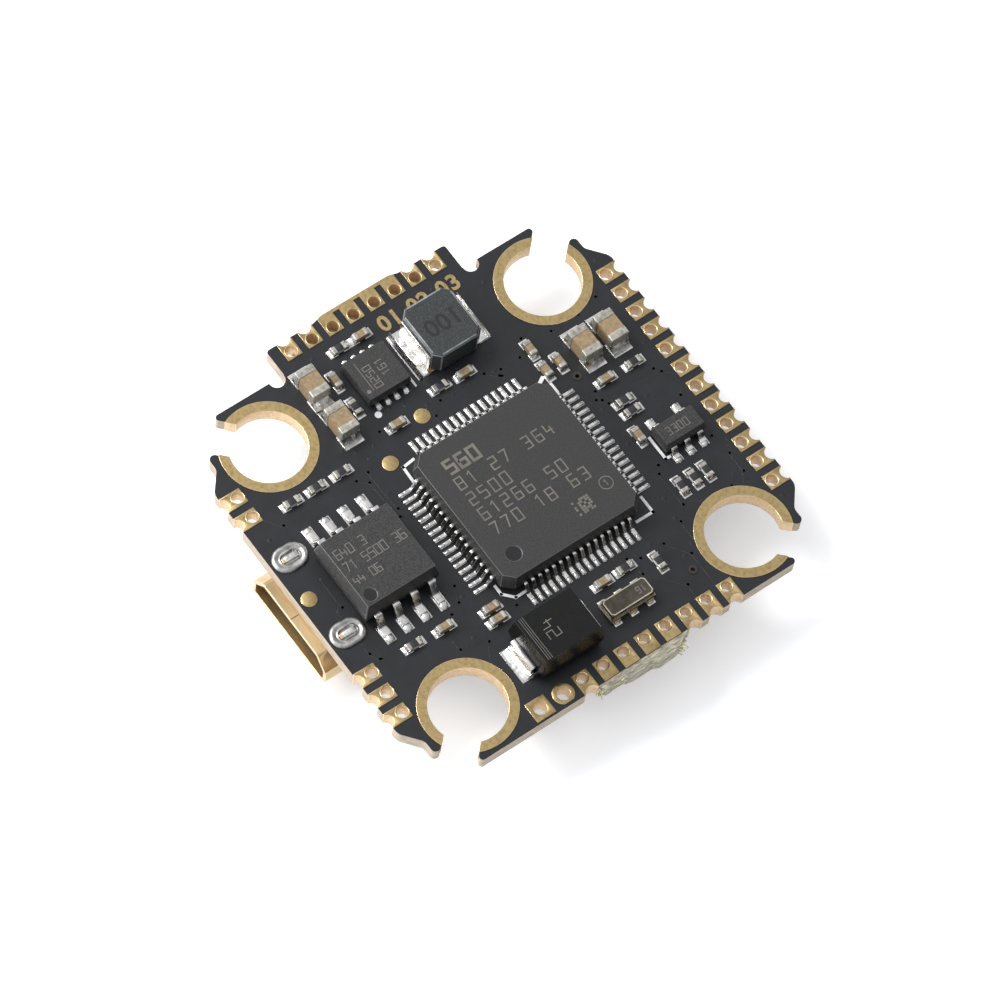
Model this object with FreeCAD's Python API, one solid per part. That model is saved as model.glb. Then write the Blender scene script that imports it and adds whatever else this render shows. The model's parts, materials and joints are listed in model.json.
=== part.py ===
import FreeCAD, Part
import math
import os

# Flight controller board for a small multirotor, in millimetres.
# +Z points away from the board on the processor side, -Y is the connector edge, and -X is the wide tab.
# The origin is the centre of the four mounting holes, on the board's upper face.

V = FreeCAD.Vector
ROOT2 = math.sqrt(2.0)

# Board
HOLE_PITCH = 20.0        # centre to centre of the mounting holes, along X and along Y
HOLE_R = 2.37            # finished mounting hole
RING_WIDTH = 0.63        # gold ring round each mounting hole
RING_GAP = 0.1           # bare board kept between a ring and any pad
SLOT_WIDTH = 2.15        # finished slot from each mounting hole out through the corner
BOARD_THICKNESS = 1.0
COPPER = 0.05            # plating, proud of the board and inside its holes
EDGE_OVERHANG = 4.4      # from the hole row to the +Y and -Y edges
SHELF_OVERHANG = 3.38    # the same beside the corner slots
SIDE_OVERHANG = 3.28     # from the hole row to the +X edge
NECK_OVERHANG = 3.4      # from the hole row to the narrow part of the -X edge
TAB_OVERHANG = 5.25      # from the hole row to the tab's edge on -X
TAB_HALF = 6.5           # half the tab's length along Y
TAB_SCAR = 0.17          # how far the tab's middle stands out
RELIEF_R = 0.52          # round relief in the corners beside the tab
TORN_REACH = 0.7         # panel remnant past the +X edge

# Edge pads
PAD_PITCH = 1.5
PAD_WIDTH = 1.03
PAD_DEPTH = 1.4
TAB_PAD_DEPTH = 1.28
PAD_SETBACK = 0.08       # pads that aren't castellated stop this far inside the edge
VIA_R = 0.37
SIDE_VIA_R = 0.33
VIA_INSET = 1.0          # via centre to the edge
TAB_VIA_INSET = 0.85
NOTCH_R = 0.45           # castellation
NOTCH_OUT = 0.1          # its centre, outside the edge
SIDE_ROW_TOP = 7.0       # first pad of the +X row
END_PAD_HOLE_R = 0.42
ROUND_PAD_R = 0.68
SQUARE_PAD = 1.34
TEST_PAD_R = 0.5
RING_VIA_R = 0.13
RING_VIA_LAND_R = 0.28

# Processor
PROCESSOR_BODY = 10.0
PROCESSOR_HEIGHT = 1.5
PROCESSOR_PITCH = 0.5
PROCESSOR_REACH = 1.0    # lead, from the body out
PROCESSOR_LEADS_A_SIDE = 16
PROCESSOR_LEAD = (0.22, 0.14, 0.45)      # width, thickness and foot
PROCESSOR_MARK_INSET = 1.55
PROCESSOR_MARK_R = 0.5

# Flash memory
FLASH_X = 5.28
FLASH_Y = 5.23
FLASH_HEIGHT = 1.9
FLASH_PITCH = 1.27
FLASH_REACH = 1.31
FLASH_LEAD = (0.5, 0.2, 0.6)
FLASH_LEADS_A_SIDE = 4
FLASH_MARK_INSET = 0.8
FLASH_MARK_R = 0.42
MARK_DEPTH = 0.05        # of the round mark beside a chip's first lead

# Voltage regulator
REGULATOR_X = 1.6
REGULATOR_Y = 2.9
REGULATOR_HEIGHT = 1.1
REGULATOR_PITCH = 0.95
REGULATOR_REACH = 0.6
REGULATOR_LEAD = (0.4, 0.15, 0.28)

# Buck converter, inductor and surge diode
CONVERTER_SIZE = 3.0
CONVERTER_HEIGHT = 0.95
CONVERTER_PITCH = 0.65
CONVERTER_PAD = (0.6, 0.3, 0.12)
INDUCTOR_X = 3.85
INDUCTOR_Y = 3.5
INDUCTOR_HEIGHT = 2.0
INDUCTOR_FOOT = 0.73     # terminal, from the core out
INDUCTOR_CORNER = 0.45   # cut off the core's corners
INDUCTOR_FOOT_T = 0.15
INDUCTOR_PLATE_T = 0.12
DIODE_X = 3.5
DIODE_Y = 4.35
DIODE_HEIGHT = 2.3
DIODE_LEAD_WIDTH = 2.15
DIODE_LEAD_T = 0.2
DIODE_REACH = 0.36
DIODE_FOOT = 0.9         # lead, back under the body

# Resonator
RESONATOR_X = 1.35
RESONATOR_Y = 3.25
RESONATOR_HEIGHT = 0.85
RESONATOR_BASE = 0.4
RESONATOR_PAD_PITCH = 1.2
RESONATOR_PAD_WIDTH = 0.42
RESONATOR_PAD_T = 0.1
LID_INSET = 0.08         # a metal lid, in from the edge of its base

# Chip capacitors and resistors: length, width, height
LARGE_CAP = (2.0, 1.25, 1.3)
SMALL_CAP = (1.0, 0.5, 0.5)
RESISTOR = (1.0, 0.5, 0.35)
LARGE_BAND = 0.5
SMALL_BAND = 0.26
TERMINAL_T = 0.03        # metal over the ends
COAT_T = 0.03            # glass over a resistor

# Micro-USB receptacle, under the board
PORT_X = -0.5
PORT_MOUTH = 0.65        # how far its mouth stands past the edge
PORT_DEPTH = 5.4
PORT_WALL = 0.25
PORT_HALF_WIDTH = 3.65
PORT_TOP_HALF = 2.75     # half the flat that lies against the board
PORT_SHOULDER = 1.05     # height of the slanted corners
PORT_HEIGHT = 2.35
PORT_ANCHOR_X = 2.9      # anchor tabs, either side of the middle
PORT_ANCHOR_Y = 1.3      # their centres, in from the board's edge
ANCHOR_T = 0.3
ANCHOR_W = 1.1
ANCHOR_SLOT_GAP = 0.22   # board slot round an anchor tab
ANCHOR_PROUD = 0.12
SOLDER_OVAL = (1.75, 2.3)
SOLDER_T = 0.18
CONTACT_PITCH = 0.65
CONTACT_W = 0.25
CONTACT_T = 0.12
TONGUE_T = 0.6
TONGUE_HALF = 1.8

# Speed-controller socket, under the tab
SOCKET_WAYS = 8
SOCKET_PITCH = 1.0
SOCKET_DEPTH = 4.25
SOCKET_HEIGHT = 2.9
SOCKET_WALL = 0.45
SOCKET_CHEEK = 0.8
SOCKET_END = 1.5         # middle of the last pin to the end of the housing
SOCKET_MOUTH_DEPTH = 2.9
SOCKET_PIN = 0.3
SOCKET_PIN_INSET = 0.9   # pin tip, in from the mouth
CLIP_LENGTH = 1.6
CLIP_HEIGHT = 1.6
CLIP_FOOT = 0.7
CLIP_T = 0.2

# Chips under the board
GYRO_SIZE = 3.0
GYRO_HEIGHT = 0.9
GYRO_PAD_PITCH = 0.5
GYRO_PAD = (0.5, 0.28, 0.06)
DISPLAY_X = 9.7
DISPLAY_Y = 4.4
DISPLAY_HEIGHT = 1.1
DISPLAY_PITCH = 0.65
DISPLAY_LEADS_A_SIDE = 14
DISPLAY_REACH = 1.0
DISPLAY_LEAD = (0.22, 0.12, 0.5)
CRYSTAL_X = 3.2
CRYSTAL_Y = 2.5
CRYSTAL_HEIGHT = 0.8
CRYSTAL_BASE = 0.36
LAMP = (1.0, 0.5, 0.2)
LAMP_LENS_HEIGHT = 0.3

# Boot switch, under the board
SWITCH_X = 3.0
SWITCH_Y = 2.6
SWITCH_BASE = 0.9
SWITCH_COVER = 0.15
SWITCH_WELL_R = 1.05
SWITCH_FOOT = (0.4, 0.4, 0.12)
COVER_EAR = (0.12, 1.0, 0.3)  # ears that hold the cover: thickness, width, height of the lower end
SWITCH_TRAVEL = 0.25
DOME_ROOM = 0.15         # left for the flattened dome at full travel
BUTTON_R = 0.7
BUTTON_PROUD = 0.45
BUTTON_FLANGE = 0.2
BUTTON_EASE = 0.08       # rounding of its top edge
BUTTON_CLEARANCE = 0.05  # round the button, and round its flange
BUTTON_REST_GAP = 0.02
DOME_T = 0.06

HOLE_HALF = HOLE_PITCH / 2
SPREAD = HOLE_PITCH / 20.0            # the layout opens and closes with the mounting pattern
EDGE_Y = HOLE_HALF + EDGE_OVERHANG
SHELF_Y = HOLE_HALF + SHELF_OVERHANG
SIDE_X = HOLE_HALF + SIDE_OVERHANG
NECK_X = HOLE_HALF + NECK_OVERHANG
TAB_X = HOLE_HALF + TAB_OVERHANG
RING_R = HOLE_R + RING_WIDTH
UNDERSIDE = -BOARD_THICKNESS
CORNERS = [(sx, sy) for sx in (-1, 1) for sy in (-1, 1)]


def place(x, y):
    """A point of the layout, moved with the mounting pattern."""
    return x * SPREAD, y * SPREAD


PROCESSOR_AT = place(0.68, 0.84)
FLASH_AT = place(-0.05, -9.37)
REGULATOR_AT = place(2.62, 10.6)
CONVERTER_AT = place(-10.26, -2.1)
INDUCTOR_AT = place(-10.35, 2.6)
DIODE_AT = place(9.5, -3.45)
RESONATOR_AT = place(9.85, 1.5)
GYRO_AT = place(0.6, -2.2)
DISPLAY_AT = place(-1.5, 6.0)
CRYSTAL_AT = place(6.6, 5.6)
SWITCH_AT = place(6.4, -5.2)
LARGE_CAPS_AT = [place(-11.65, -5.75), place(-8.75, -5.7), place(-4.92, 11.15), place(-4.95, 9.27)]
CAPS_ALONG_Y = [place(-7.5, 2.4), place(-12.95, -1.3), place(-6.95, -2.9), place(5.3, -8.3),
                place(5.8, -5.35), place(6.6, -5.4), place(8.1, 1.05), place(-2.55, 9.15)]
CAPS_ALONG_X = [place(-11.3, -4.3), place(1.55, 8.5), place(-5.0, 7.5), place(-5.0, 6.5),
                place(-6.65, 6.55)]
CAPS_BELOW = [place(-2.6, -2.2), place(3.6, -2.2), place(-8.3, 6.0)]
RESISTORS_ALONG_Y = [place(-7.6, 0.65), place(-12.95, -2.85), place(-6.2, -7.45), place(-6.2, -9.25),
                     place(-6.2, -11.0), place(5.2, -10.4), place(8.05, 2.7), place(-0.8, 9.2),
                     place(0.0, 9.2), place(-2.55, 11.2)]
RESISTORS_ALONG_X = [place(-9.25, -4.3), place(8.8, 4.6), place(5.6, 10.5), place(5.6, 9.6),
                     place(5.6, 8.65)]
RESISTORS_BELOW = [place(9.6, 0.9), place(9.6, -0.4)]
LAMPS_AT = [place(11.15, 0.9), place(11.15, -0.4)]
TEST_PADS_AT = [place(-0.6, -13.7), place(-6.65, -1.3), place(-5.15, -4.67)]
RING_VIAS_AT = [place(10.3, 6.0), place(-3.7, 7.9)]


# Basic shapes

def box(x0, x1, y0, y1, z0, z1):
    return Part.makeBox(x1 - x0, y1 - y0, z1 - z0, V(x0, y0, z0))


def block(x, y, lx, ly, z0, z1):
    """A box by its middle in plan."""
    return box(x - lx / 2, x + lx / 2, y - ly / 2, y + ly / 2, z0, z1)


def post(x, y, r, z0, z1):
    return Part.makeCylinder(r, z1 - z0, V(x, y, z0))


def rounded_wire(corners):
    """A closed outline of lines, with an arc at each corner (x, y, radius) whose radius isn't 0."""
    edges = []
    starts = []
    count = len(corners)
    for i, (x, y, r) in enumerate(corners):
        here = V(x, y, 0)
        back = (V(*corners[i - 1][:2], 0) - here).normalize()
        ahead = (V(*corners[(i + 1) % count][:2], 0) - here).normalize()
        half_angle = back.getAngle(ahead) / 2
        if r == 0:
            starts.append((here, here, None))
            continue
        run = r / math.tan(half_angle)
        bisector = (back + ahead).normalize()
        middle = here + bisector * (r / math.sin(half_angle) - r)
        starts.append((here + back * run, here + ahead * run, middle))
    for i, (first, last, middle) in enumerate(starts):
        if middle is not None:
            edges.append(Part.Arc(first, middle, last).toShape())
        following = starts[(i + 1) % count][0]
        edges.append(Part.LineSegment(last, following).toShape())
    return Part.Wire(edges)


def prism(corners, z0, z1):
    """A straight-sided solid on a rounded outline."""
    solid = Part.Face(rounded_wire(corners)).extrude(V(0, 0, z1 - z0))
    solid.translate(V(0, 0, z0))
    return solid


def extrude_across(corners, x0, x1):
    """A solid whose outline (y, z, radius) is carried along X from x0 to x1."""
    solid = prism(corners, x0, x1)
    return solid.transformGeometry(FreeCAD.Matrix(0, 0, 1, 0, 1, 0, 0, 0, 0, 1, 0, 0, 0, 0, 0, 1))


def rectangle(x, y, lx, ly, cut):
    """Corners of a rectangle whose corners are cut at 45 degrees."""
    hx = lx / 2
    hy = ly / 2
    turns = [(hx, -hy + cut), (hx, hy - cut), (hx - cut, hy), (-hx + cut, hy),
             (-hx, hy - cut), (-hx, -hy + cut), (-hx + cut, -hy), (hx - cut, -hy)]
    return [V(x + dx, y + dy, 0) for dx, dy in turns]


def moulded(x, y, lx, ly, z_levels, draft, cut):
    """A moulded package: drafted below and above an upright band, where its leads come out."""
    bottom, band_low, band_high, top = z_levels
    insets = [(bottom, draft * 0.6), (band_low, 0), (band_high, 0), (top, draft)]
    wires = []
    for z, inset in insets:
        points = rectangle(x, y, lx - 2 * inset, ly - 2 * inset, cut)
        lifted = [p + V(0, 0, z) for p in points]
        wires.append(Part.makePolygon(lifted + lifted[:1]))
    return Part.makeLoft(wires, True, True)


def gull_lead(reach, root_z, section):
    """A lead that leaves a package at x=0, height root_z, and ends on a foot at z=0."""
    width, thick, foot = section
    shoulder = (reach - foot) * 0.45
    heel = reach - foot
    slip = thick * 0.4
    low = root_z - thick / 2
    high = root_z + thick / 2
    corners = [(0, low, 0), (shoulder - slip, low, thick * 0.3), (heel - slip, 0, thick * 0.8),
               (reach, 0, 0), (reach, thick, thick * 0.3), (heel, thick, thick * 0.5),
               (shoulder, high, thick * 0.8), (0, high, 0)]
    lead = extrude_across(corners, -width / 2, width / 2)
    lead.rotate(V(0, 0, 0), V(0, 0, 1), -90)
    return lead


def turned(shape, angle, x, y):
    """A copy, turned about the vertical and moved to (x, y)."""
    copy = shape.copy()
    copy.rotate(V(0, 0, 0), V(0, 0, 1), angle)
    copy.translate(V(x, y, 0))
    return copy


def below(shape):
    """A shape that stands on z=0, hung from the board's underside instead."""
    hung = shape.mirror(V(0, 0, 0), V(0, 0, 1))
    hung.translate(V(0, 0, UNDERSIDE))
    return hung


def group(solids):
    return Part.makeCompound(solids)


def softened(shape, radius, edges):
    return shape.makeFillet(radius, edges)


def save(name, shape):
    shape.exportStep("parts/" + name + ".step")


# Board

def corner_run(side_x):
    """Outline of the +X +Y corner, from the side edge round the slot to the long edge."""
    slot = (SLOT_WIDTH + 2 * COPPER) / ROOT2
    step_x = HOLE_HALF + 0.45
    flat_x = HOLE_HALF - 0.8
    return [(side_x, side_x - slot, 0.22),
            (HOLE_HALF + slot / 2, HOLE_HALF - slot / 2, 0),
            (HOLE_HALF - slot / 2, HOLE_HALF + slot / 2, 0),
            (SHELF_Y - slot, SHELF_Y, 0.3),
            (step_x, SHELF_Y, 0.6),
            (flat_x, EDGE_Y, 0.8)]


def board_outline():
    """The board's edge, anticlockwise from the corner slot at +X +Y."""
    right = corner_run(SIDE_X)
    left = [(-x, y, r) for x, y, r in reversed(corner_run(NECK_X))]
    tab = [(-NECK_X, TAB_HALF, 0), (-TAB_X, TAB_HALF, 0.2), (-TAB_X, 3.1, 0.4),
           (-TAB_X - TAB_SCAR, 2.4, 0.4)]
    upper = right + left + tab
    lower = [(x, -y, r) for x, y, r in reversed(upper)]
    torn = [(SIDE_X, -2.95, 0), (SIDE_X + 0.35, -2.7, 0), (SIDE_X + 0.3, -1.6, 0),
            (SIDE_X + 0.5, -0.9, 0), (SIDE_X + 0.5, 0.5, 0), (SIDE_X + TORN_REACH, 1.0, 0.1),
            (SIDE_X + 0.6, 2.3, 0), (SIDE_X + 0.25, 2.9, 0), (SIDE_X, 3.4, 0)]
    return upper + lower + torn


def pad_rows():
    """Each row: name, turn about Z, edge distance, via inset and radius, pad depth, pads.

    A row is drawn on the +Y edge and turned into place. A pad is (position along the row, castellated).
    """
    far = [((i - 5.5) * PAD_PITCH, True) for i in range(12)]
    port = [(i * PAD_PITCH, True) for i in (-5.5, -4.5, -3.5, 4.5, 5.5)]
    tab = [((i - 3.5) * PAD_PITCH, i in (0, 1, 6, 7)) for i in range(8)]
    side = [(-(SIDE_ROW_TOP - i * PAD_PITCH), i in (0, 1, 2, 7)) for i in range(8)]
    return [("far_edge_pads", 0, EDGE_Y, VIA_INSET, VIA_R, PAD_DEPTH, far),
            ("port_edge_pads", 180, EDGE_Y, VIA_INSET, VIA_R, PAD_DEPTH, port),
            ("tab_edge_pads", 90, TAB_X, TAB_VIA_INSET, VIA_R, TAB_PAD_DEPTH, tab),
            ("side_edge_pads", -90, SIDE_X, VIA_INSET, SIDE_VIA_R, PAD_DEPTH, side)]


def end_pads():
    """The round and the square pad that end the +X row: positions."""
    x = SIDE_X - 0.8
    last = SIDE_ROW_TOP - 7 * PAD_PITCH
    return (x, last - PAD_PITCH), (x, last - 2.1 * PAD_PITCH)


def anchor_places():
    y = -EDGE_Y + PORT_ANCHOR_Y
    return [(PORT_X - PORT_ANCHOR_X, y), (PORT_X + PORT_ANCHOR_X, y)]


def oval(x, y, width, length, z0, z1):
    """An upright oval, longer along Y."""
    straight = length - width
    middle = block(x, y, width, straight, z0, z1)
    ends = [post(x, y + side * straight / 2, width / 2, z0, z1) for side in (-1, 1)]
    return middle.multiFuse(ends).removeSplitter()


def row_holes(row, extra):
    """Via holes and castellations of one row, opened by extra on the radius."""
    name, turn, edge, inset, via_r, depth, pads = row
    low = UNDERSIDE - 1
    holes = [post(along, edge - inset, via_r + extra, low, 1) for along, notched in pads]
    holes += [post(along, edge + NOTCH_OUT, NOTCH_R + extra, low, 1) for along, notched in pads if notched]
    return [turned(hole, turn, 0, 0) for hole in holes]


def other_holes(extra):
    """Mounting holes, end pads' holes and ring vias, opened by extra on the radius."""
    low = UNDERSIDE - 1
    holes = [post(sx * HOLE_HALF, sy * HOLE_HALF, HOLE_R + extra, low, 1) for sx, sy in CORNERS]
    holes += [post(x, y, END_PAD_HOLE_R + extra, low, 1) for x, y in end_pads()]
    holes += [post(x, y, RING_VIA_R + extra, low, 1) for x, y in RING_VIAS_AT]
    return holes


def make_board():
    cuts = other_holes(COPPER)
    for row in pad_rows():
        cuts += row_holes(row, COPPER)
    for side in (-1, 1):
        cuts.append(post(-NECK_X + 0.05, side * (TAB_HALF + 0.55), RELIEF_R, UNDERSIDE - 1, 1))
    gap = 2 * ANCHOR_SLOT_GAP
    for x, y in anchor_places():
        cuts.append(oval(x, y, ANCHOR_T + gap, ANCHOR_W + gap, UNDERSIDE - 1, 1))
    return prism(board_outline(), UNDERSIDE, 0).cut(group(cuts))


def plated(shape, board, holes):
    """What plating fills: the shape inside the board's edge, less the board, finished holes and rings."""
    edge = prism(board_outline(), UNDERSIDE - COPPER, COPPER)
    rings = [post(sx * HOLE_HALF, sy * HOLE_HALF, RING_R + RING_GAP, UNDERSIDE - 1, 1) for sx, sy in CORNERS]
    return shape.common(edge).cut(board).cut(group(holes + rings))


def plating_block(x, y, lx, ly):
    return block(x, y, lx, ly, UNDERSIDE - COPPER, COPPER)


def make_hole_plating(board):
    """Rings on both faces, the barrel between them, and the ends of the slot."""
    solids = []
    for sx, sy in CORNERS:
        x = sx * HOLE_HALF
        y = sy * HOLE_HALF
        disc = post(x, y, RING_R, UNDERSIDE - COPPER, COPPER)
        bore = post(x, y, HOLE_R, UNDERSIDE - 1, 1)
        slot = box(0, 2 * RING_R, -SLOT_WIDTH / 2, SLOT_WIDTH / 2, UNDERSIDE - 1, 1)
        slot = turned(slot, math.degrees(math.atan2(sy, sx)), x, y)
        solids.append(disc.cut(board).cut(bore).cut(slot))
    return group(solids)


def make_pad_row(row, board):
    name, turn, edge, inset, via_r, depth, pads = row
    holes = row_holes(row, 0)
    blocks = []
    for along, notched in pads:
        outer = edge if notched else edge - PAD_SETBACK
        if name == "tab_edge_pads":
            outer = edge + TAB_SCAR
        middle = (edge - depth + outer) / 2
        blocks.append(plating_block(along, middle, PAD_WIDTH, outer - edge + depth))
    if name == "tab_edge_pads":
        strip = plating_block(0, edge + TAB_SCAR / 2, 3 * PAD_PITCH + PAD_WIDTH, TAB_SCAR + 0.1)
        blocks = blocks[:2] + [strip.multiFuse(blocks[2:6])] + blocks[6:]
    return group([plated(turned(pad, turn, 0, 0), board, holes) for pad in blocks])


def make_end_pads(board):
    (round_x, round_y), (square_x, square_y) = end_pads()
    round_pad = post(round_x, round_y, ROUND_PAD_R, UNDERSIDE - COPPER, COPPER)
    round_pad = round_pad.common(plating_block(round_x - 0.1, round_y, 1.4, 2 * ROUND_PAD_R))
    square_pad = plating_block(square_x, square_y, SQUARE_PAD, SQUARE_PAD)
    return group([plated(pad, board, other_holes(0)) for pad in (round_pad, square_pad)])


def make_ring_vias(board):
    lands = [post(x, y, RING_VIA_LAND_R, UNDERSIDE - COPPER, COPPER) for x, y in RING_VIAS_AT]
    return group([plated(land, board, other_holes(0)) for land in lands])


# Packages with leads

def lead_row(lead, count, pitch, side, x, y, half):
    """Leads along one side of a package: side is the angle of its outward direction."""
    leads = []
    for i in range(count):
        moved = lead.copy()
        moved.translate(V(half, (i - (count - 1) / 2) * pitch, 0))
        leads.append(turned(moved, side, x, y))
    return leads


def make_processor():
    x, y = PROCESSOR_AT
    mid = PROCESSOR_HEIGHT / 2
    levels = (0.08, mid - 0.08, mid + 0.08, PROCESSOR_HEIGHT)
    body = moulded(x, y, PROCESSOR_BODY, PROCESSOR_BODY, levels, 0.17, 0.6)
    mark = PROCESSOR_BODY / 2 - PROCESSOR_MARK_INSET
    mark_z = PROCESSOR_HEIGHT - MARK_DEPTH
    body = body.cut(post(x + mark, y - mark, PROCESSOR_MARK_R, mark_z, PROCESSOR_HEIGHT + 1))
    lead = gull_lead(PROCESSOR_REACH, mid, PROCESSOR_LEAD)
    leads = []
    for side in (0, 90, 180, 270):
        leads += lead_row(lead, PROCESSOR_LEADS_A_SIDE, PROCESSOR_PITCH, side, x, y, PROCESSOR_BODY / 2)
    save("processor_body", body)
    save("processor_leads", group(leads))


def make_flash():
    x, y = FLASH_AT
    mid = FLASH_HEIGHT / 2
    levels = (0.1, mid - 0.11, mid + 0.11, FLASH_HEIGHT)
    body = moulded(x, y, FLASH_X, FLASH_Y, levels, 0.22, 0.05)
    mark_x = x + FLASH_X / 2 - FLASH_MARK_INSET
    mark_y = y - FLASH_Y / 2 + FLASH_MARK_INSET
    body = body.cut(post(mark_x, mark_y, FLASH_MARK_R, FLASH_HEIGHT - MARK_DEPTH, FLASH_HEIGHT + 1))
    lead = gull_lead(FLASH_REACH, mid, FLASH_LEAD)
    leads = []
    for side in (0, 180):
        leads += lead_row(lead, FLASH_LEADS_A_SIDE, FLASH_PITCH, side, x, y, FLASH_X / 2)
    save("flash_body", body)
    save("flash_leads", group(leads))


def make_regulator():
    x, y = REGULATOR_AT
    mid = REGULATOR_HEIGHT / 2
    levels = (0.05, mid - 0.08, mid + 0.08, REGULATOR_HEIGHT)
    body = moulded(x, y, REGULATOR_X, REGULATOR_Y, levels, 0.1, 0.04)
    lead = gull_lead(REGULATOR_REACH, mid, REGULATOR_LEAD)
    half = REGULATOR_X / 2
    leads = lead_row(lead, 3, REGULATOR_PITCH, 0, x, y, half)
    leads += lead_row(lead, 2, 2 * REGULATOR_PITCH, 180, x, y, half)
    save("regulator_body", body)
    save("regulator_leads", group(leads))


def make_converter():
    x, y = CONVERTER_AT
    length, width, thick = CONVERTER_PAD
    body = moulded(x, y, CONVERTER_SIZE, CONVERTER_SIZE, (thick, 0.2, 0.5, CONVERTER_HEIGHT), 0.05, 0.04)
    pads = []
    for side in (-1, 1):
        for i in range(4):
            pad_y = y + (i - 1.5) * CONVERTER_PITCH
            pads.append(block(x + side * (CONVERTER_SIZE / 2 + 0.05), pad_y, length, width, 0, thick))
    save("converter_body", body)
    save("converter_pads", group(pads))


def make_inductor():
    x, y = INDUCTOR_AT
    wires = []
    for z, inset in ((INDUCTOR_FOOT_T, 0), (INDUCTOR_HEIGHT - 0.1, 0), (INDUCTOR_HEIGHT, 0.1)):
        points = rectangle(x, y, INDUCTOR_X - 2 * inset, INDUCTOR_Y - 2 * inset, INDUCTOR_CORNER)
        lifted = [p + V(0, 0, z) for p in points]
        wires.append(Part.makePolygon(lifted + lifted[:1]))
    core = Part.makeLoft(wires, True, True)
    terminals = []
    for side in (-1, 1):
        end = y + side * INDUCTOR_Y / 2
        foot_y = end + side * (INDUCTOR_FOOT - 0.6) / 2
        foot = block(x, foot_y, INDUCTOR_X - 0.5, INDUCTOR_FOOT + 0.6, 0, INDUCTOR_FOOT_T)
        plate_y = end + side * INDUCTOR_PLATE_T / 2
        plate = block(x, plate_y, INDUCTOR_X - 2 * INDUCTOR_CORNER, INDUCTOR_PLATE_T, 0, INDUCTOR_HEIGHT * 0.8)
        terminals.append(foot.fuse(plate).removeSplitter())
    save("inductor_core", core)
    save("inductor_terminals", group(terminals))


def make_diode():
    x, y = DIODE_AT
    thick = DIODE_LEAD_T
    mid = DIODE_HEIGHT * 0.42
    levels = (thick, mid - thick / 2, mid + thick / 2, DIODE_HEIGHT)
    body = moulded(x, y, DIODE_X, DIODE_Y, levels, 0.2, 0.03)
    low = mid - thick / 2
    high = mid + thick / 2
    inner = DIODE_REACH - thick
    corners = [(0, low, 0), (inner, low, 0.05), (inner, thick, 0.05), (-DIODE_FOOT, thick, 0),
               (-DIODE_FOOT, 0, 0), (DIODE_REACH, 0, thick), (DIODE_REACH, high, thick), (0, high, 0)]
    lead = extrude_across(corners, -DIODE_LEAD_WIDTH / 2, DIODE_LEAD_WIDTH / 2)
    leads = []
    for side in (0, 180):
        moved = lead.copy()
        moved.translate(V(0, DIODE_Y / 2, 0))
        leads.append(turned(moved, side, x, y))
    save("surge_diode_body", body)
    save("surge_diode_leads", group(leads))


def lidded_can(x, y, lx, ly, base_height, height):
    """A ceramic base and the metal lid that closes it."""
    base = block(x, y, lx, ly, 0, base_height)
    lid = block(x, y, lx - 2 * LID_INSET, ly - 2 * LID_INSET, base_height, height)
    upright = [edge for edge in lid.Edges if abs(edge.tangentAt(edge.FirstParameter).z) > 0.9]
    lid = softened(lid, 0.12, upright)
    top = [edge for edge in lid.Edges if edge.BoundBox.ZMin > height - 1e-6]
    return base, softened(lid, 0.05, top)


def make_resonator():
    x, y = RESONATOR_AT
    base, lid = lidded_can(x, y, RESONATOR_X, RESONATOR_Y, RESONATOR_BASE, RESONATOR_HEIGHT)
    terminals = []
    for side in (-1, 1):
        for i in (-1, 0, 1):
            pad_x = x + side * (RESONATOR_X + RESONATOR_PAD_T) / 2
            pad_y = y + i * RESONATOR_PAD_PITCH
            terminals.append(block(pad_x, pad_y, RESONATOR_PAD_T, RESONATOR_PAD_WIDTH, 0, RESONATOR_BASE * 0.8))
    save("resonator_base", base)
    save("resonator_lid", lid)
    save("resonator_terminals", group(terminals))


# Chip capacitors, resistors and lamps

def chip_part(size, band, along_y):
    """A chip part's body and its two end caps, centred on the origin and standing on z=0."""
    length, width, height = size
    outer = block(0, 0, length, width, 0, height)
    outer = softened(outer, 2.2 * TERMINAL_T, outer.Edges)
    skin = 2 * TERMINAL_T
    body = block(0, 0, length - skin, width - skin, TERMINAL_T, height - TERMINAL_T)
    ends = []
    for side in (-1, 1):
        region = block(side * (length - band) / 2, 0, band, width, 0, height)
        ends.append(outer.common(region).cut(body))
    turn = 90 if along_y else 0
    return turned(body, turn, 0, 0), [turned(end, turn, 0, 0) for end in ends]


def chip_parts(size, band, places_x, places_y, places_below):
    """Bodies and end caps of like parts: along X, along Y, and along X under the board."""
    bodies = []
    caps = []
    runs = [(places_x, False, False), (places_y, True, False), (places_below, False, True)]
    for places, along_y, hung in runs:
        body, ends = chip_part(size, band, along_y)
        for x, y in places:
            pieces = [turned(piece, 0, x, y) for piece in [body] + ends]
            if hung:
                pieces = [below(piece) for piece in pieces]
            bodies.append(pieces[0])
            caps += pieces[1:]
    return bodies, caps


def make_capacitors():
    bodies, caps = chip_parts(LARGE_CAP, LARGE_BAND, LARGE_CAPS_AT, [], [])
    save("large_capacitor_bodies", group(bodies))
    save("large_capacitor_terminals", group(caps))
    bodies, caps = chip_parts(SMALL_CAP, SMALL_BAND, CAPS_ALONG_X, CAPS_ALONG_Y, CAPS_BELOW)
    save("small_capacitor_bodies", group(bodies))
    save("small_capacitor_terminals", group(caps))


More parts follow.
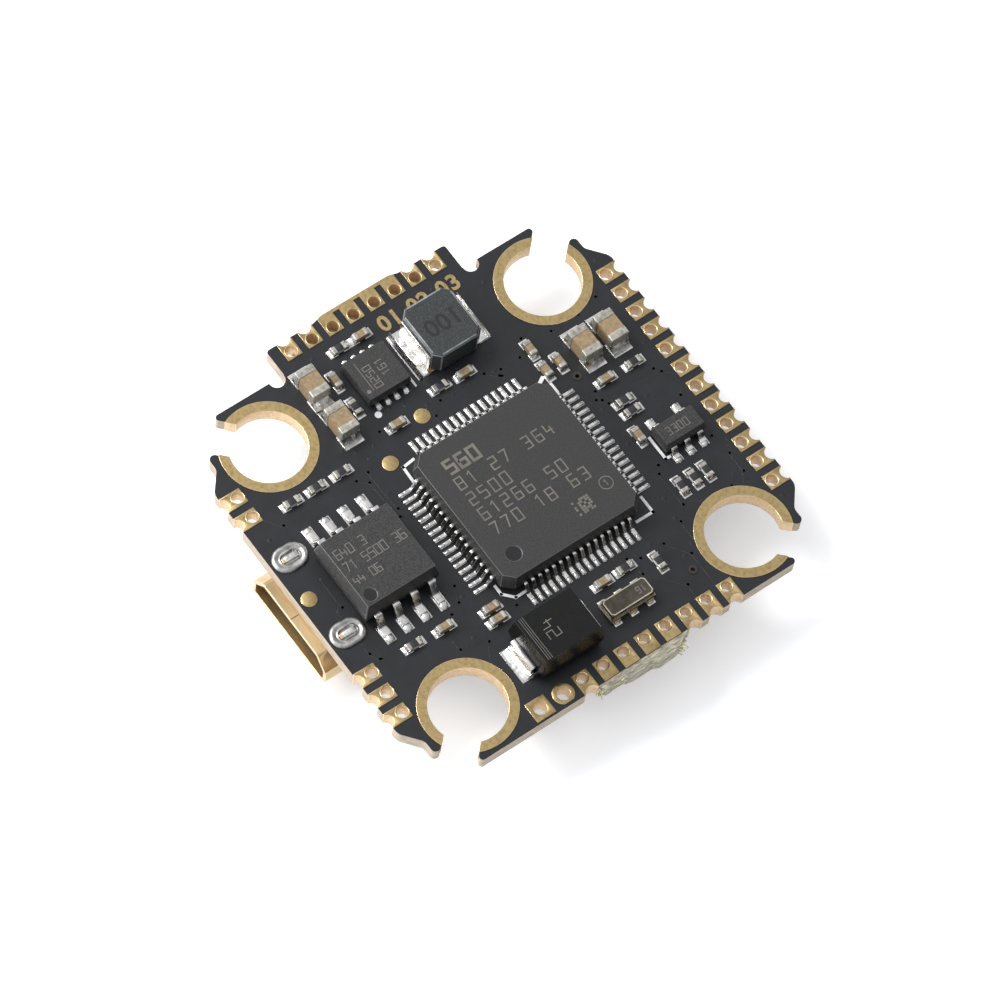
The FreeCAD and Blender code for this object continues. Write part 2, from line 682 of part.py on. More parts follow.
def make_resistors():
    bodies, caps = chip_parts(RESISTOR, SMALL_BAND, RESISTORS_ALONG_X, RESISTORS_ALONG_Y, RESISTORS_BELOW)
    length, width, height = RESISTOR
    coats = []
    coat_z = height - TERMINAL_T
    coat = block(0, 0, length - 2 * SMALL_BAND, width - 0.04, coat_z, coat_z + COAT_T)
    runs = [(RESISTORS_ALONG_X, 0, False), (RESISTORS_ALONG_Y, 90, False), (RESISTORS_BELOW, 0, True)]
    for places, turn, hung in runs:
        for x, y in places:
            piece = turned(coat, turn, x, y)
            coats.append(below(piece) if hung else piece)
    save("resistor_bodies", group(bodies))
    save("resistor_terminals", group(caps))
    save("resistor_coats", group(coats))


def make_lamps():
    length, width, height = LAMP
    bases = []
    lenses = []
    for x, y in LAMPS_AT:
        bases.append(below(block(x, y, length, width, 0, height)))
        lens = block(x, y, length * 0.6, width * 0.9, height, height + LAMP_LENS_HEIGHT)
        lenses.append(below(softened(lens, 0.04, [edge for edge in lens.Edges if edge.BoundBox.ZMin > height])))
    save("status_lamp_bases", group(bases))
    save("status_lamp_lenses", group(lenses))


# Micro-USB receptacle

def port_profile(inset):
    """The receptacle's section (x, z, radius), inset from the outside; z is measured from the board down."""
    slant = math.atan2(PORT_SHOULDER, PORT_HALF_WIDTH - PORT_TOP_HALF)
    top_in = inset * math.tan(slant / 2)
    side_in = inset * math.tan((math.pi / 2 - slant) / 2)
    outer_x = PORT_HALF_WIDTH - inset
    top_x = PORT_TOP_HALF - top_in
    shoulder = -PORT_SHOULDER - side_in
    radius = 0.35 - inset
    half = [(top_x, -inset, radius), (outer_x, shoulder, radius), (outer_x, -PORT_HEIGHT + inset, radius)]
    return half + [(-x, z, r) for x, z, r in reversed(half)]


def port_solid(inset, y0, y1):
    """The section above, carried along Y under the board."""
    solid = prism(port_profile(inset), -y1, -y0)
    solid.rotate(V(0, 0, 0), V(1, 0, 0), 90)
    solid.translate(V(PORT_X, 0, UNDERSIDE))
    return solid


def make_port():
    mouth = -EDGE_Y - PORT_MOUTH
    rear = mouth + PORT_DEPTH
    shell = port_solid(0, mouth, rear).cut(port_solid(PORT_WALL, mouth - 1, rear + 1))
    anchors = []
    solders = []
    gap = 2 * ANCHOR_SLOT_GAP
    for x, y in anchor_places():
        anchor = block(x, y, ANCHOR_T, ANCHOR_W, UNDERSIDE - 0.3, ANCHOR_PROUD)
        anchors.append(anchor)
        filled = oval(x, y, ANCHOR_T + gap, ANCHOR_W + gap, UNDERSIDE, 0)
        dome = oval(x, y, SOLDER_OVAL[0], SOLDER_OVAL[1], 0, SOLDER_T)
        solders.append(dome.fuse(filled).removeSplitter().cut(anchor))
    shell = shell.multiFuse(anchors).cut(port_solid(PORT_WALL, mouth - 1, rear + 1)).removeSplitter()
    tongue_top = UNDERSIDE - PORT_WALL - 0.55
    tongue_low = tongue_top - TONGUE_T
    plug_y = rear - 1.3
    tongue = port_solid(PORT_WALL, plug_y, rear)
    blade = box(PORT_X - TONGUE_HALF, PORT_X + TONGUE_HALF, mouth + 1.1, plug_y, tongue_low, tongue_top)
    tongue = tongue.fuse(blade)
    profile = [(mouth + 1.4, tongue_top - CONTACT_T, 0), (rear + 0.12, tongue_top - CONTACT_T, 0),
               (rear + 0.12, UNDERSIDE - CONTACT_T, 0), (rear + 0.8, UNDERSIDE - CONTACT_T, 0),
               (rear + 0.8, UNDERSIDE, 0), (rear, UNDERSIDE, 0), (rear, tongue_top, 0),
               (mouth + 1.4, tongue_top, 0)]
    contacts = []
    for i in range(5):
        x = PORT_X + (i - 2) * CONTACT_PITCH
        contacts.append(extrude_across(profile, x - CONTACT_W / 2, x + CONTACT_W / 2))
    tongue = tongue.cut(group(contacts)).removeSplitter()
    save("usb_shell", shell)
    save("usb_anchor_solder", group(solders))
    save("usb_tongue", tongue)
    save("usb_contacts", group(contacts))


# Speed-controller socket

def make_socket():
    mouth = -TAB_X + 0.1
    rear = mouth + SOCKET_DEPTH
    half = (SOCKET_WAYS - 1) / 2 * SOCKET_PITCH + SOCKET_END
    seat = UNDERSIDE - COPPER
    low = seat - SOCKET_HEIGHT
    housing = box(mouth, rear, -half, half, low, seat)
    cavity = box(mouth - 1, mouth + SOCKET_MOUTH_DEPTH, -half + SOCKET_CHEEK, half - SOCKET_CHEEK,
                 low + SOCKET_WALL, seat - SOCKET_WALL)
    pin_z = seat - SOCKET_HEIGHT / 2
    side = SOCKET_PIN / 2
    tip = mouth + SOCKET_PIN_INSET
    bar = box(tip, rear + SOCKET_PIN, -side, side, pin_z, pin_z + SOCKET_PIN)
    tail = box(rear, rear + SOCKET_PIN, -side, side, pin_z, UNDERSIDE)
    foot = box(rear, rear + 3 * SOCKET_PIN, -side, side, UNDERSIDE - side, UNDERSIDE)
    pin = bar.multiFuse([tail, foot]).removeSplitter()
    pins = [turned(pin, 0, 0, (i - (SOCKET_WAYS - 1) / 2) * SOCKET_PITCH) for i in range(SOCKET_WAYS)]
    housing = housing.cut(cavity).cut(group(pins))
    clip_x = rear - CLIP_LENGTH / 2 - 0.7
    clips = []
    for side in (-1, 1):
        plate_y = side * (half + CLIP_T / 2)
        plate = block(clip_x, plate_y, CLIP_LENGTH, CLIP_T, UNDERSIDE - CLIP_HEIGHT, UNDERSIDE)
        foot_y = side * (half + CLIP_FOOT / 2)
        clip_foot = block(clip_x, foot_y, CLIP_LENGTH, CLIP_FOOT, UNDERSIDE - CLIP_T, UNDERSIDE)
        clips.append(plate.fuse(clip_foot).removeSplitter())
    save("controller_socket_housing", housing)
    save("controller_socket_pins", group(pins))
    save("controller_socket_clips", group(clips))


# Chips under the board

def make_gyro():
    x, y = GYRO_AT
    length, width, thick = GYRO_PAD
    body = block(x, y, GYRO_SIZE, GYRO_SIZE, thick, GYRO_HEIGHT)
    pads = []
    reach = GYRO_SIZE / 2 - 0.2
    for side in (-1, 1):
        for i in range(4):
            pads.append(block(x + side * reach, y + (i - 1.5) * GYRO_PAD_PITCH, length, width, 0, thick))
        for i in range(3):
            pads.append(block(x + (i - 1) * GYRO_PAD_PITCH, y + side * reach, width, length, 0, thick))
    save("gyro_chip", below(body))
    save("gyro_pads", group([below(pad) for pad in pads]))


def make_display_chip():
    x, y = DISPLAY_AT
    mid = DISPLAY_HEIGHT / 2
    levels = (0.08, mid - 0.07, mid + 0.07, DISPLAY_HEIGHT)
    body = moulded(x, y, DISPLAY_X, DISPLAY_Y, levels, 0.1, 0.04)
    lead = gull_lead(DISPLAY_REACH, mid, DISPLAY_LEAD)
    leads = []
    for side in (90, 270):
        leads += lead_row(lead, DISPLAY_LEADS_A_SIDE, DISPLAY_PITCH, side, x, y, DISPLAY_Y / 2)
    crystal_x, crystal_y = CRYSTAL_AT
    base, lid = lidded_can(crystal_x, crystal_y, CRYSTAL_X, CRYSTAL_Y, CRYSTAL_BASE, CRYSTAL_HEIGHT)
    save("display_chip_body", below(body))
    save("display_chip_leads", group([below(piece) for piece in leads]))
    save("display_crystal_base", below(base))
    save("display_crystal_lid", below(lid))


# Boot switch

def make_switch():
    """The button rests against its cover and presses the dome towards the board."""
    x, y = SWITCH_AT
    floor = SWITCH_BASE - BUTTON_REST_GAP - BUTTON_FLANGE - SWITCH_TRAVEL - DOME_ROOM
    base = block(x, y, SWITCH_X, SWITCH_Y, 0, SWITCH_BASE)
    base = base.cut(post(x, y, SWITCH_WELL_R, floor, SWITCH_BASE + 1))
    cover_top = SWITCH_BASE + SWITCH_COVER
    cover = block(x, y, SWITCH_X, SWITCH_Y, SWITCH_BASE, cover_top)
    ear_t, ear_width, ear_z = COVER_EAR
    for side in (-1, 1):
        cover = cover.fuse(block(x + side * (SWITCH_X + ear_t) / 2, y, ear_t, ear_width, ear_z, cover_top))
    cover = cover.removeSplitter().cut(post(x, y, BUTTON_R + BUTTON_CLEARANCE, 0, SWITCH_BASE + 1))
    flange_top = SWITCH_BASE - BUTTON_REST_GAP
    flange_low = flange_top - BUTTON_FLANGE
    top = cover_top + BUTTON_PROUD
    button = post(x, y, BUTTON_R, flange_low, top)
    button = softened(button, BUTTON_EASE, [edge for edge in button.Edges if edge.BoundBox.ZMin > top - 1e-6])
    flange = post(x, y, SWITCH_WELL_R - BUTTON_CLEARANCE, flange_low, flange_top)
    button = button.fuse(flange).removeSplitter()
    rise = flange_low - BUTTON_REST_GAP - floor
    rim = SWITCH_WELL_R - 0.15
    bowl_r = ((rim + 0.08) ** 2 + rise ** 2) / (2 * rise)
    bowl = Part.makeSphere(bowl_r, V(0, 0, rise - bowl_r))
    hollow = bowl.copy()
    hollow.translate(V(0, 0, -DOME_T))
    dome = post(0, 0, rim, 0, 1).common(bowl).cut(hollow)
    dome.translate(V(x, y, floor))
    feet = []
    foot_x, foot_y, foot_t = SWITCH_FOOT
    for sx, sy in CORNERS:
        at_x = x + sx * (SWITCH_X + foot_x) / 2
        at_y = y + sy * (SWITCH_Y / 2 - 0.35)
        feet.append(block(at_x, at_y, foot_x, foot_y, 0, foot_t))
    save("boot_switch_base", below(base))
    save("boot_switch_cover", below(cover))
    save("boot_switch_button", below(button))
    save("boot_switch_dome", below(dome))
    save("boot_switch_feet", group([below(foot) for foot in feet]))


def main():
    os.makedirs("parts", exist_ok=True)
    board = make_board()
    save("circuit_board", board)
    save("mounting_hole_plating", make_hole_plating(board))
    for row in pad_rows():
        save(row[0], make_pad_row(row, board))
    save("end_pads", make_end_pads(board))
    save("ring_vias", make_ring_vias(board))
    save("test_pads", group([post(x, y, TEST_PAD_R, 0, COPPER) for x, y in TEST_PADS_AT]))
    make_processor()
    make_flash()
    make_regulator()
    make_converter()
    make_inductor()
    make_diode()
    make_resonator()
    make_capacitors()
    make_resistors()
    make_lamps()
    make_port()
    make_socket()
    make_gyro()
    make_display_chip()
    make_switch()


main()
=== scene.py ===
import json
import math
import random

import bmesh
import bpy
from bpy.props import FloatProperty, FloatVectorProperty, IntProperty, PointerProperty, StringProperty
from mathutils import Matrix, Vector

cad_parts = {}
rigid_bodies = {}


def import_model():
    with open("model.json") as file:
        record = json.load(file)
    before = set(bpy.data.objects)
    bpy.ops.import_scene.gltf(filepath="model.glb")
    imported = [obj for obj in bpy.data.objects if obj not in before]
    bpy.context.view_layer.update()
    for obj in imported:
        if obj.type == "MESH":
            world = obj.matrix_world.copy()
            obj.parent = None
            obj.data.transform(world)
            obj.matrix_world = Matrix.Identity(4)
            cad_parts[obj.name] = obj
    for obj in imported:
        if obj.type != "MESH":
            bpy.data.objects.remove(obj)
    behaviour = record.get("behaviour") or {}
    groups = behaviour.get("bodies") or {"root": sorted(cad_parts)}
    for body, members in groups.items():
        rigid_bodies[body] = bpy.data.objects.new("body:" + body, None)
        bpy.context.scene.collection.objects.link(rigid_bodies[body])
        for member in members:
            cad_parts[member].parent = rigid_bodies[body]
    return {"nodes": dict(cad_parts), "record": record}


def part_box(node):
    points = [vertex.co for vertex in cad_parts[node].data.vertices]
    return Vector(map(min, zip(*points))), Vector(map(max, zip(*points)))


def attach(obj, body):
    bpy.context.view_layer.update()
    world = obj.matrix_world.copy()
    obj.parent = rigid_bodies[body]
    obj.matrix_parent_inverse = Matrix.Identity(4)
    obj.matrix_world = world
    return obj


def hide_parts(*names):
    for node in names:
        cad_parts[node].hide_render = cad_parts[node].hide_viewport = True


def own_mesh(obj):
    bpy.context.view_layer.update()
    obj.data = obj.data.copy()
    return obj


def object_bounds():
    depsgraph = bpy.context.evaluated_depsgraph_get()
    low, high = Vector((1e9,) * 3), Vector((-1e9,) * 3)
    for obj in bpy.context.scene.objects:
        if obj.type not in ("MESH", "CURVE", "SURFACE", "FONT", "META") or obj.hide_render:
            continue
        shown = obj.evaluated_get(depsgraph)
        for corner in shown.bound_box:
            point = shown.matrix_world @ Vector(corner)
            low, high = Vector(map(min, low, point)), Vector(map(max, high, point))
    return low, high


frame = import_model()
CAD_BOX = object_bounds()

bl_info = {
    "name": "Flight controller board",
    "version": (1, 0, 0),
    "blender": (4, 5, 0),
    "location": "View3D > Sidebar > Board",
    "description": "Finishes a small flight controller board: plating, solder, chips, printing and stage",
    "category": "Object",
}

MM = 0.001
UP = Vector((0, 0, 1))
QUARTER = math.pi / 2
MERGE = 1e-7                      # corners closer than this are one
SUNK = 0.02 * MM                  # how far a raised detail reaches into the board
TRACK_WIDTH = 0.16 * MM
TRACK_TOP = 0.010 * MM
VIA_R = 0.085 * MM
VIA_LIP_R = 0.15 * MM
PAD_PITCH = 1.5 * MM
PAD_WIDTH = 1.03 * MM
COLLAR_WIDTH = 0.07 * MM
INK = (0.002 * MM, 0.016 * MM)    # lower and upper side of the print, off the board
MARK_LOW = 0.002 * MM             # how far digits reach into a package
MARK_HIGH = 0.004 * MM            # and how far they stand out
LAND_SUNK = 0.01 * MM
TORN_X = 13.20 * MM               # the torn tab starts here, and lies within TORN_HALF of TORN_Y
TORN_Y = 0.25 * MM
TORN_HALF = 3.15 * MM


# Settings

class FinishColours(bpy.types.PropertyGroup):
    mask: FloatVectorProperty(name="Solder mask", description="Colour of the board's mask",
                              default=(0.0125, 0.0130, 0.0155), subtype="COLOR")
    laminate: FloatVectorProperty(name="Laminate", description="Colour of the board's cut edge",
                                  default=(0.47, 0.395, 0.31), subtype="COLOR")
    torn: FloatVectorProperty(name="Torn laminate", description="Colour of the broken panel tab",
                              default=(0.43, 0.40, 0.31), subtype="COLOR")
    gold: FloatVectorProperty(name="Gold plating", description="Colour of rings, pads and test points",
                              default=(0.49, 0.362, 0.172), subtype="COLOR")
    shell: FloatVectorProperty(name="Socket shell", description="Colour of the polished socket shell",
                               default=(0.80, 0.60, 0.33), subtype="COLOR")
    tin: FloatVectorProperty(name="Tin", description="Colour of leads and terminals",
                             default=(0.82, 0.80, 0.77), subtype="COLOR")
    mould: FloatVectorProperty(name="Moulding", description="Colour of the chip packages",
                               default=(0.027, 0.0262, 0.0255), subtype="COLOR")
    ferrite: FloatVectorProperty(name="Ferrite", description="Colour of the inductor's core",
                                 default=(0.026, 0.029, 0.029), subtype="COLOR")
    ceramic: FloatVectorProperty(name="Capacitor ceramic", description="Colour of the capacitor bodies",
                                 default=(0.30, 0.215, 0.12), subtype="COLOR")
    ink: FloatVectorProperty(name="White print", description="Colour of the printed marks",
                             default=(0.80, 0.80, 0.80), subtype="COLOR")


class PrintSizes(bpy.types.PropertyGroup):
    ink_width: FloatProperty(name="Printed line", description="Width of the printed lines",
                             default=0.18 * MM, unit="LENGTH")
    laser_width: FloatProperty(name="Laser line", description="Width of the lines on the chips",
                               default=0.085 * MM, unit="LENGTH")
    code_height: FloatProperty(name="Chip digits", description="Height of the processor's digits",
                               default=0.80 * MM, unit="LENGTH")
    board_digits: FloatProperty(name="Board digits", description="Height of the gold digits on the board",
                                default=1.02 * MM, unit="LENGTH")
    code_text: StringProperty(name="Processor rows", description="Generic digits, one row after another",
                              default="560/81 27 364/2500/61266 50/770 18 63")


class SolderSizes(bpy.types.PropertyGroup):
    land_height: FloatProperty(name="Land", description="Height of a tinned land",
                               default=0.035 * MM, unit="LENGTH")
    fillet_small: FloatProperty(name="Small fillet", description="Reach of the solder at a small chip's end",
                                default=0.20 * MM, unit="LENGTH")
    fillet_large: FloatProperty(name="Large fillet", description="Reach of the solder at a large chip's end",
                                default=0.42 * MM, unit="LENGTH")
    bead_width: FloatProperty(name="Lead bead", description="Width of the solder at a processor lead",
                              default=0.27 * MM, unit="LENGTH")


class StageSettings(bpy.types.PropertyGroup):
    azimuth: FloatProperty(name="Azimuth", description="Camera's direction round the board",
                           default=math.radians(44.821), subtype="ANGLE")
    elevation: FloatProperty(name="Elevation", description="Camera's height above the board's plane",
                             default=math.radians(63.211), subtype="ANGLE")
    roll: FloatProperty(name="Roll", description="Camera's turn about its own axis",
                        default=math.radians(10.25), subtype="ANGLE")
    distance: FloatProperty(name="Distance", description="Camera to target",
                            default=0.341267, unit="LENGTH")
    target: FloatVectorProperty(name="Target", description="Point that the camera looks at",
                                default=(0.000362, -0.000717, 0.0), subtype="TRANSLATION")
    lens: FloatProperty(name="Lens", description="Focal length in millimetres on a 36 mm sensor",
                        default=210.066, unit="CAMERA")
    key_power: FloatProperty(name="Key light", description="Power of the large soft light",
                             default=0.50, unit="POWER")
    fill_power: FloatProperty(name="Side light", description="Power of the low light beside the socket",
                              default=0.40, unit="POWER")
    seed: IntProperty(name="Seed", description="Seed of the small irregularities", default=7)


def colours():
    return bpy.context.scene.board_colours


def prints():
    return bpy.context.scene.board_prints


def solder_sizes():
    return bpy.context.scene.board_solder


def stage_settings():
    return bpy.context.scene.board_stage


def dice(step):
    """Seeded draws for one step of the build."""
    return random.Random(stage_settings().seed + step)


# Materials

class Look:
    """A material in the making: its shader, and patterns on object coordinates that feed it."""

    def __init__(self, name, metallic=0.0, roughness=0.5):
        self.material = bpy.data.materials.new(name)
        self.material.use_nodes = True
        self.tree = self.material.node_tree
        self.shader = self.tree.nodes["Principled BSDF"]
        self.shader.inputs["Metallic"].default_value = metallic
        self.shader.inputs["Roughness"].default_value = roughness
        self.coords = self.tree.nodes.new("ShaderNodeTexCoord")

    def feed(self, socket, value):
        if isinstance(value, bpy.types.NodeSocket):
            self.tree.links.new(value, socket)
        else:
            socket.default_value = value

    def node(self, kind, **sockets):
        """A new node with these sockets fed; an underscore stands for a space."""
        made = self.tree.nodes.new("ShaderNode" + kind)
        for name, value in sockets.items():
            self.feed(made.inputs[name.replace("_", " ")], value)
        return made

    def noise(self, grain_mm, detail=3.0, rough=0.55, stretch=(1, 1, 1)):
        place = self.node("Mapping", Scale=stretch, Vector=self.coords.outputs["Object"]).outputs["Vector"]
        return self.node("TexNoise", Scale=1 / (grain_mm * MM), Detail=detail, Roughness=rough,
                         Vector=place).outputs["Fac"]

    def cells(self, cell_mm):
        return self.node("TexVoronoi", Scale=1 / (cell_mm * MM),
                         Vector=self.coords.outputs["Object"]).outputs["Distance"]

    def ramp(self, fac, *stops):
        node = self.node("ValToRGB", Fac=fac)
        points = node.color_ramp.elements
        while len(points) < len(stops):
            points.new(0.5)
        for point, (position, colour) in zip(points, stops):
            point.position = position
            point.color = (*colour, 1)
        return node.outputs["Color"]

    def step(self, fac, low, high, from_value=0.0, to_value=1.0):
        return self.node("MapRange", Value=fac, From_Min=low, From_Max=high, To_Min=from_value,
                         To_Max=to_value).outputs["Result"]

    def math(self, operation, first, second=0.0):
        node = self.node("Math")
        node.operation = operation
        self.feed(node.inputs[0], first)
        self.feed(node.inputs[1], second)
        return node.outputs[0]

    def mix(self, fac, first, second):
        node = self.node("Mix")
        node.data_type = "RGBA"
        self.feed(node.inputs["Factor"], fac)
        for socket, value in ((node.inputs[6], first), (node.inputs[7], second)):
            self.feed(socket, (*value, 1) if not isinstance(value, bpy.types.NodeSocket) else value)
        return node.outputs[2]

    def axis(self, output, index):
        return self.node("SeparateXYZ", Vector=self.coords.outputs[output]).outputs[index]

    def relief(self, height, depth_mm, strength=1.0, over=None):
        node = self.node("Bump", Distance=depth_mm * MM, Strength=strength, Height=height)
        if over is not None:
            self.feed(node.inputs["Normal"], over)
        return node.outputs["Normal"]

    def finish(self, colour=None, rough=None, normal=None):
        for name, value in (("Base Color", colour), ("Roughness", rough), ("Normal", normal)):
            if value is not None:
                self.feed(self.shader.inputs[name], value)
        return self.material


def shade(colour, factor):
    return tuple(min(1.0, c * factor) for c in colour)


def board_look():
    """Solder mask on the two faces, woven laminate on the cut edges and the torn tab."""
    c = colours()
    look = Look("charcoal_mask_and_laminate", roughness=0.42)
    look.shader.inputs["Specular IOR Level"].default_value = 0.42
    mask = look.ramp(look.noise(1.6), (0.3, shade(c.mask, 0.85)), (0.7, shade(c.mask, 1.25)))
    dust = look.step(look.cells(0.75), 0.035, 0.02)
    some = look.step(look.noise(2.2, 1.0), 0.5, 0.62)
    mask = look.mix(look.math("MULTIPLY", dust, some), mask, (0.35, 0.36, 0.38))
    layers = look.noise(0.09, 2.0, 0.6, (0.12, 0.12, 1.0))
    edge = look.ramp(layers, (0.3, shade(c.laminate, 0.72)), (0.52, tuple(c.laminate)),
                     (0.72, shade(c.laminate, 1.3)))
    weave = look.noise(0.10, 4.0, 0.7, (1.0, 0.16, 1.0))
    bare = look.ramp(weave, (0.34, shade(c.torn, 0.46)), (0.52, tuple(c.torn)), (0.68, shade(c.torn, 1.7)))
    past_edge = look.step(look.axis("Object", 0), TORN_X, TORN_X + 0.04 * MM)
    near_tab = look.step(look.math("ABSOLUTE", look.math("SUBTRACT", look.axis("Object", 1), TORN_Y)),
                         TORN_HALF + 0.20 * MM, TORN_HALF)
    torn = look.math("MULTIPLY", past_edge, near_tab)
    cut = look.step(look.math("ABSOLUTE", look.axis("Normal", 2)), 0.5, 0.4)
    colour = look.mix(torn, look.mix(cut, mask, edge), bare)
    tracks = look.step(look.noise(2.4, 1.0, 0.4, (1.0, 0.35, 1.0)), 0.47, 0.50)
    relief = look.relief(tracks, 0.006, 0.5)
    relief = look.relief(look.noise(0.10, 2.0), 0.004, 0.6, relief)
    relief = look.relief(look.math("MULTIPLY", weave, torn), 0.10, 0.9, relief)
    rough = look.step(look.noise(0.7), 0.3, 0.7, 0.36, 0.5)
    rough = look.math("MAXIMUM", rough, look.math("MULTIPLY", look.math("MAXIMUM", cut, torn), 0.75))
    return look.finish(colour, rough, relief)


def gold_look():
    """Immersion gold: flat faces mottled and brownish; upright faces painted paler and pinker, a painted
    reflection of the bright surroundings, and made less metallic to suit it.
    """
    gold = tuple(colours().gold)
    look = Look("mottled_gold", metallic=1.0)
    stains = look.noise(0.22, 5.0, 0.68)
    face = look.ramp(stains, (0.34, shade(gold, 0.76)), (0.5, gold), (0.68, shade(gold, 1.12)))
    # Painted reflection: faces that stand upright get the paler, pinker colour below, and less metal, in place of
    # the light they would reflect.
    upright = look.step(look.math("ABSOLUTE", look.axis("Normal", 2)), 0.6, 0.3)
    wall_reflection_colour = look.ramp(stains, (0.3, (0.60, 0.42, 0.24)), (0.7, (0.86, 0.66, 0.42)))
    metal = look.step(upright, 0.0, 1.0, 1.0, 0.55)
    look.feed(look.shader.inputs["Metallic"], metal)
    rough = look.step(stains, 0.3, 0.75, 0.34, 0.48)
    skin = look.relief(look.noise(0.05, 2.0, 0.6), 0.002, 0.5)
    return look.finish(look.mix(upright, face, wall_reflection_colour), rough, skin)


def shell_look():
    """Polished gold-plated steel, brownish in places, with faint rolling marks."""
    gold = tuple(colours().shell)
    look = Look("polished_gold_shell", metallic=0.88)
    rolled = look.noise(1.6, 3.0, 0.5, (0.35, 1.0, 1.0))
    colour = look.ramp(rolled, (0.30, shade(gold, 0.68)), (0.52, shade(gold, 0.92)),
                       (0.75, shade(gold, 1.10)))
    rough = look.step(rolled, 0.3, 0.7, 0.14, 0.26)
    return look.finish(colour, rough, look.relief(look.noise(0.25, 2.0), 0.005, 0.4))


def tin_look(name, roughness=0.24, dents_mm=0.30, dent_depth=0.012, tone=1.0, dullest=0.62):
    """Bright tin: its skin is wavy, with duller patches."""
    tin = shade(colours().tin, tone)
    look = Look(name, metallic=1.0)
    patches = look.noise(0.35, 3.0, 0.6)
    colour = look.ramp(patches, (0.32, shade(tin, dullest)), (0.5, shade(tin, 0.9)),
                       (0.75, shade(tin, 1.15)))
    rough = look.step(patches, 0.3, 0.7, roughness * 0.7, roughness * 1.4)
    waves = look.relief(look.noise(dents_mm, 1.0), dent_depth, 0.6)
    return look.finish(colour, rough, waves)


def cap_metal_look():
    """Fired and plated silver on a chip's ends: pale, mottled and matt."""
    look = Look("mottled_end_metal", metallic=0.6)
    patches = look.noise(0.20, 4.0, 0.65)
    colour = look.ramp(patches, (0.3, (0.24, 0.23, 0.20)), (0.5, (0.43, 0.41, 0.36)),
                       (0.72, (0.60, 0.58, 0.52)))
    return look.finish(colour, look.step(patches, 0.3, 0.7, 0.36, 0.5), look.relief(patches, 0.008, 0.5))


def mould_look(name, tone=1.0, roughness=0.55, speck=2.4, sheen=0.5):
    """Moulding compound: dark with fine paler specks of filler."""
    base = shade(colours().mould, tone)
    look = Look(name)
    look.shader.inputs["Specular IOR Level"].default_value = sheen
    grain = look.noise(0.06, 2.0, 0.8)
    colour = look.ramp(grain, (0.37, shade(base, 0.42)), (0.50, base), (0.63, shade(base, speck)))
    rough = look.step(grain, 0.3, 0.7, roughness - 0.05, roughness + 0.05)
    return look.finish(colour, rough, look.relief(grain, 0.004, 0.6))


def ferrite_look():
    """Pressed ferrite: grainy, with paler specks."""
    base = tuple(colours().ferrite)
    look = Look("pressed_ferrite")
    grain = look.noise(0.07, 3.0, 0.7)
    colour = look.ramp(grain, (0.32, shade(base, 0.55)), (0.5, base), (0.68, shade(base, 2.6)))
    return look.finish(colour, 0.55, look.relief(grain, 0.010, 0.7))


def ceramic_look():
    """Fired ceramic in faint level layers."""
    base = tuple(colours().ceramic)
    look = Look("tan_ceramic", roughness=0.42)
    layers = look.noise(0.25, 2.0, 0.5, (1.0, 1.0, 3.0))
    colour = look.ramp(layers, (0.3, shade(base, 0.8)), (0.7, shade(base, 1.25)))
    return look.finish(colour, None, look.relief(look.noise(0.05, 2.0), 0.003, 0.5))


def plain_look(name, colour, roughness, grain_mm=0.1, metallic=0.0, depth=0.004, spread=0.2):
    """A quiet finish: one colour with a little drift, and a fine skin."""
    look = Look(name, metallic=metallic)
    drift = look.noise(0.6, 3.0)
    tinted = look.ramp(drift, (0.3, shade(colour, 1 - spread)), (0.7, shade(colour, 1 + spread)))
    rough = look.step(drift, 0.3, 0.7, roughness * 0.88, roughness * 1.12)
    return look.finish(tinted, rough, look.relief(look.noise(grain_mm, 2.0), depth, 0.5))


def clear_look(name, colour, roughness):
    """A clear or cloudy resin."""
    look = Look(name)
    look.shader.inputs["Transmission Weight"].default_value = 0.85
    look.shader.inputs["IOR"].default_value = 1.5
    cloud = look.noise(0.2, 3.0)
    tinted = look.ramp(cloud, (0.3, shade(colour, 0.8)), (0.7, colour))
    return look.finish(tinted, roughness)


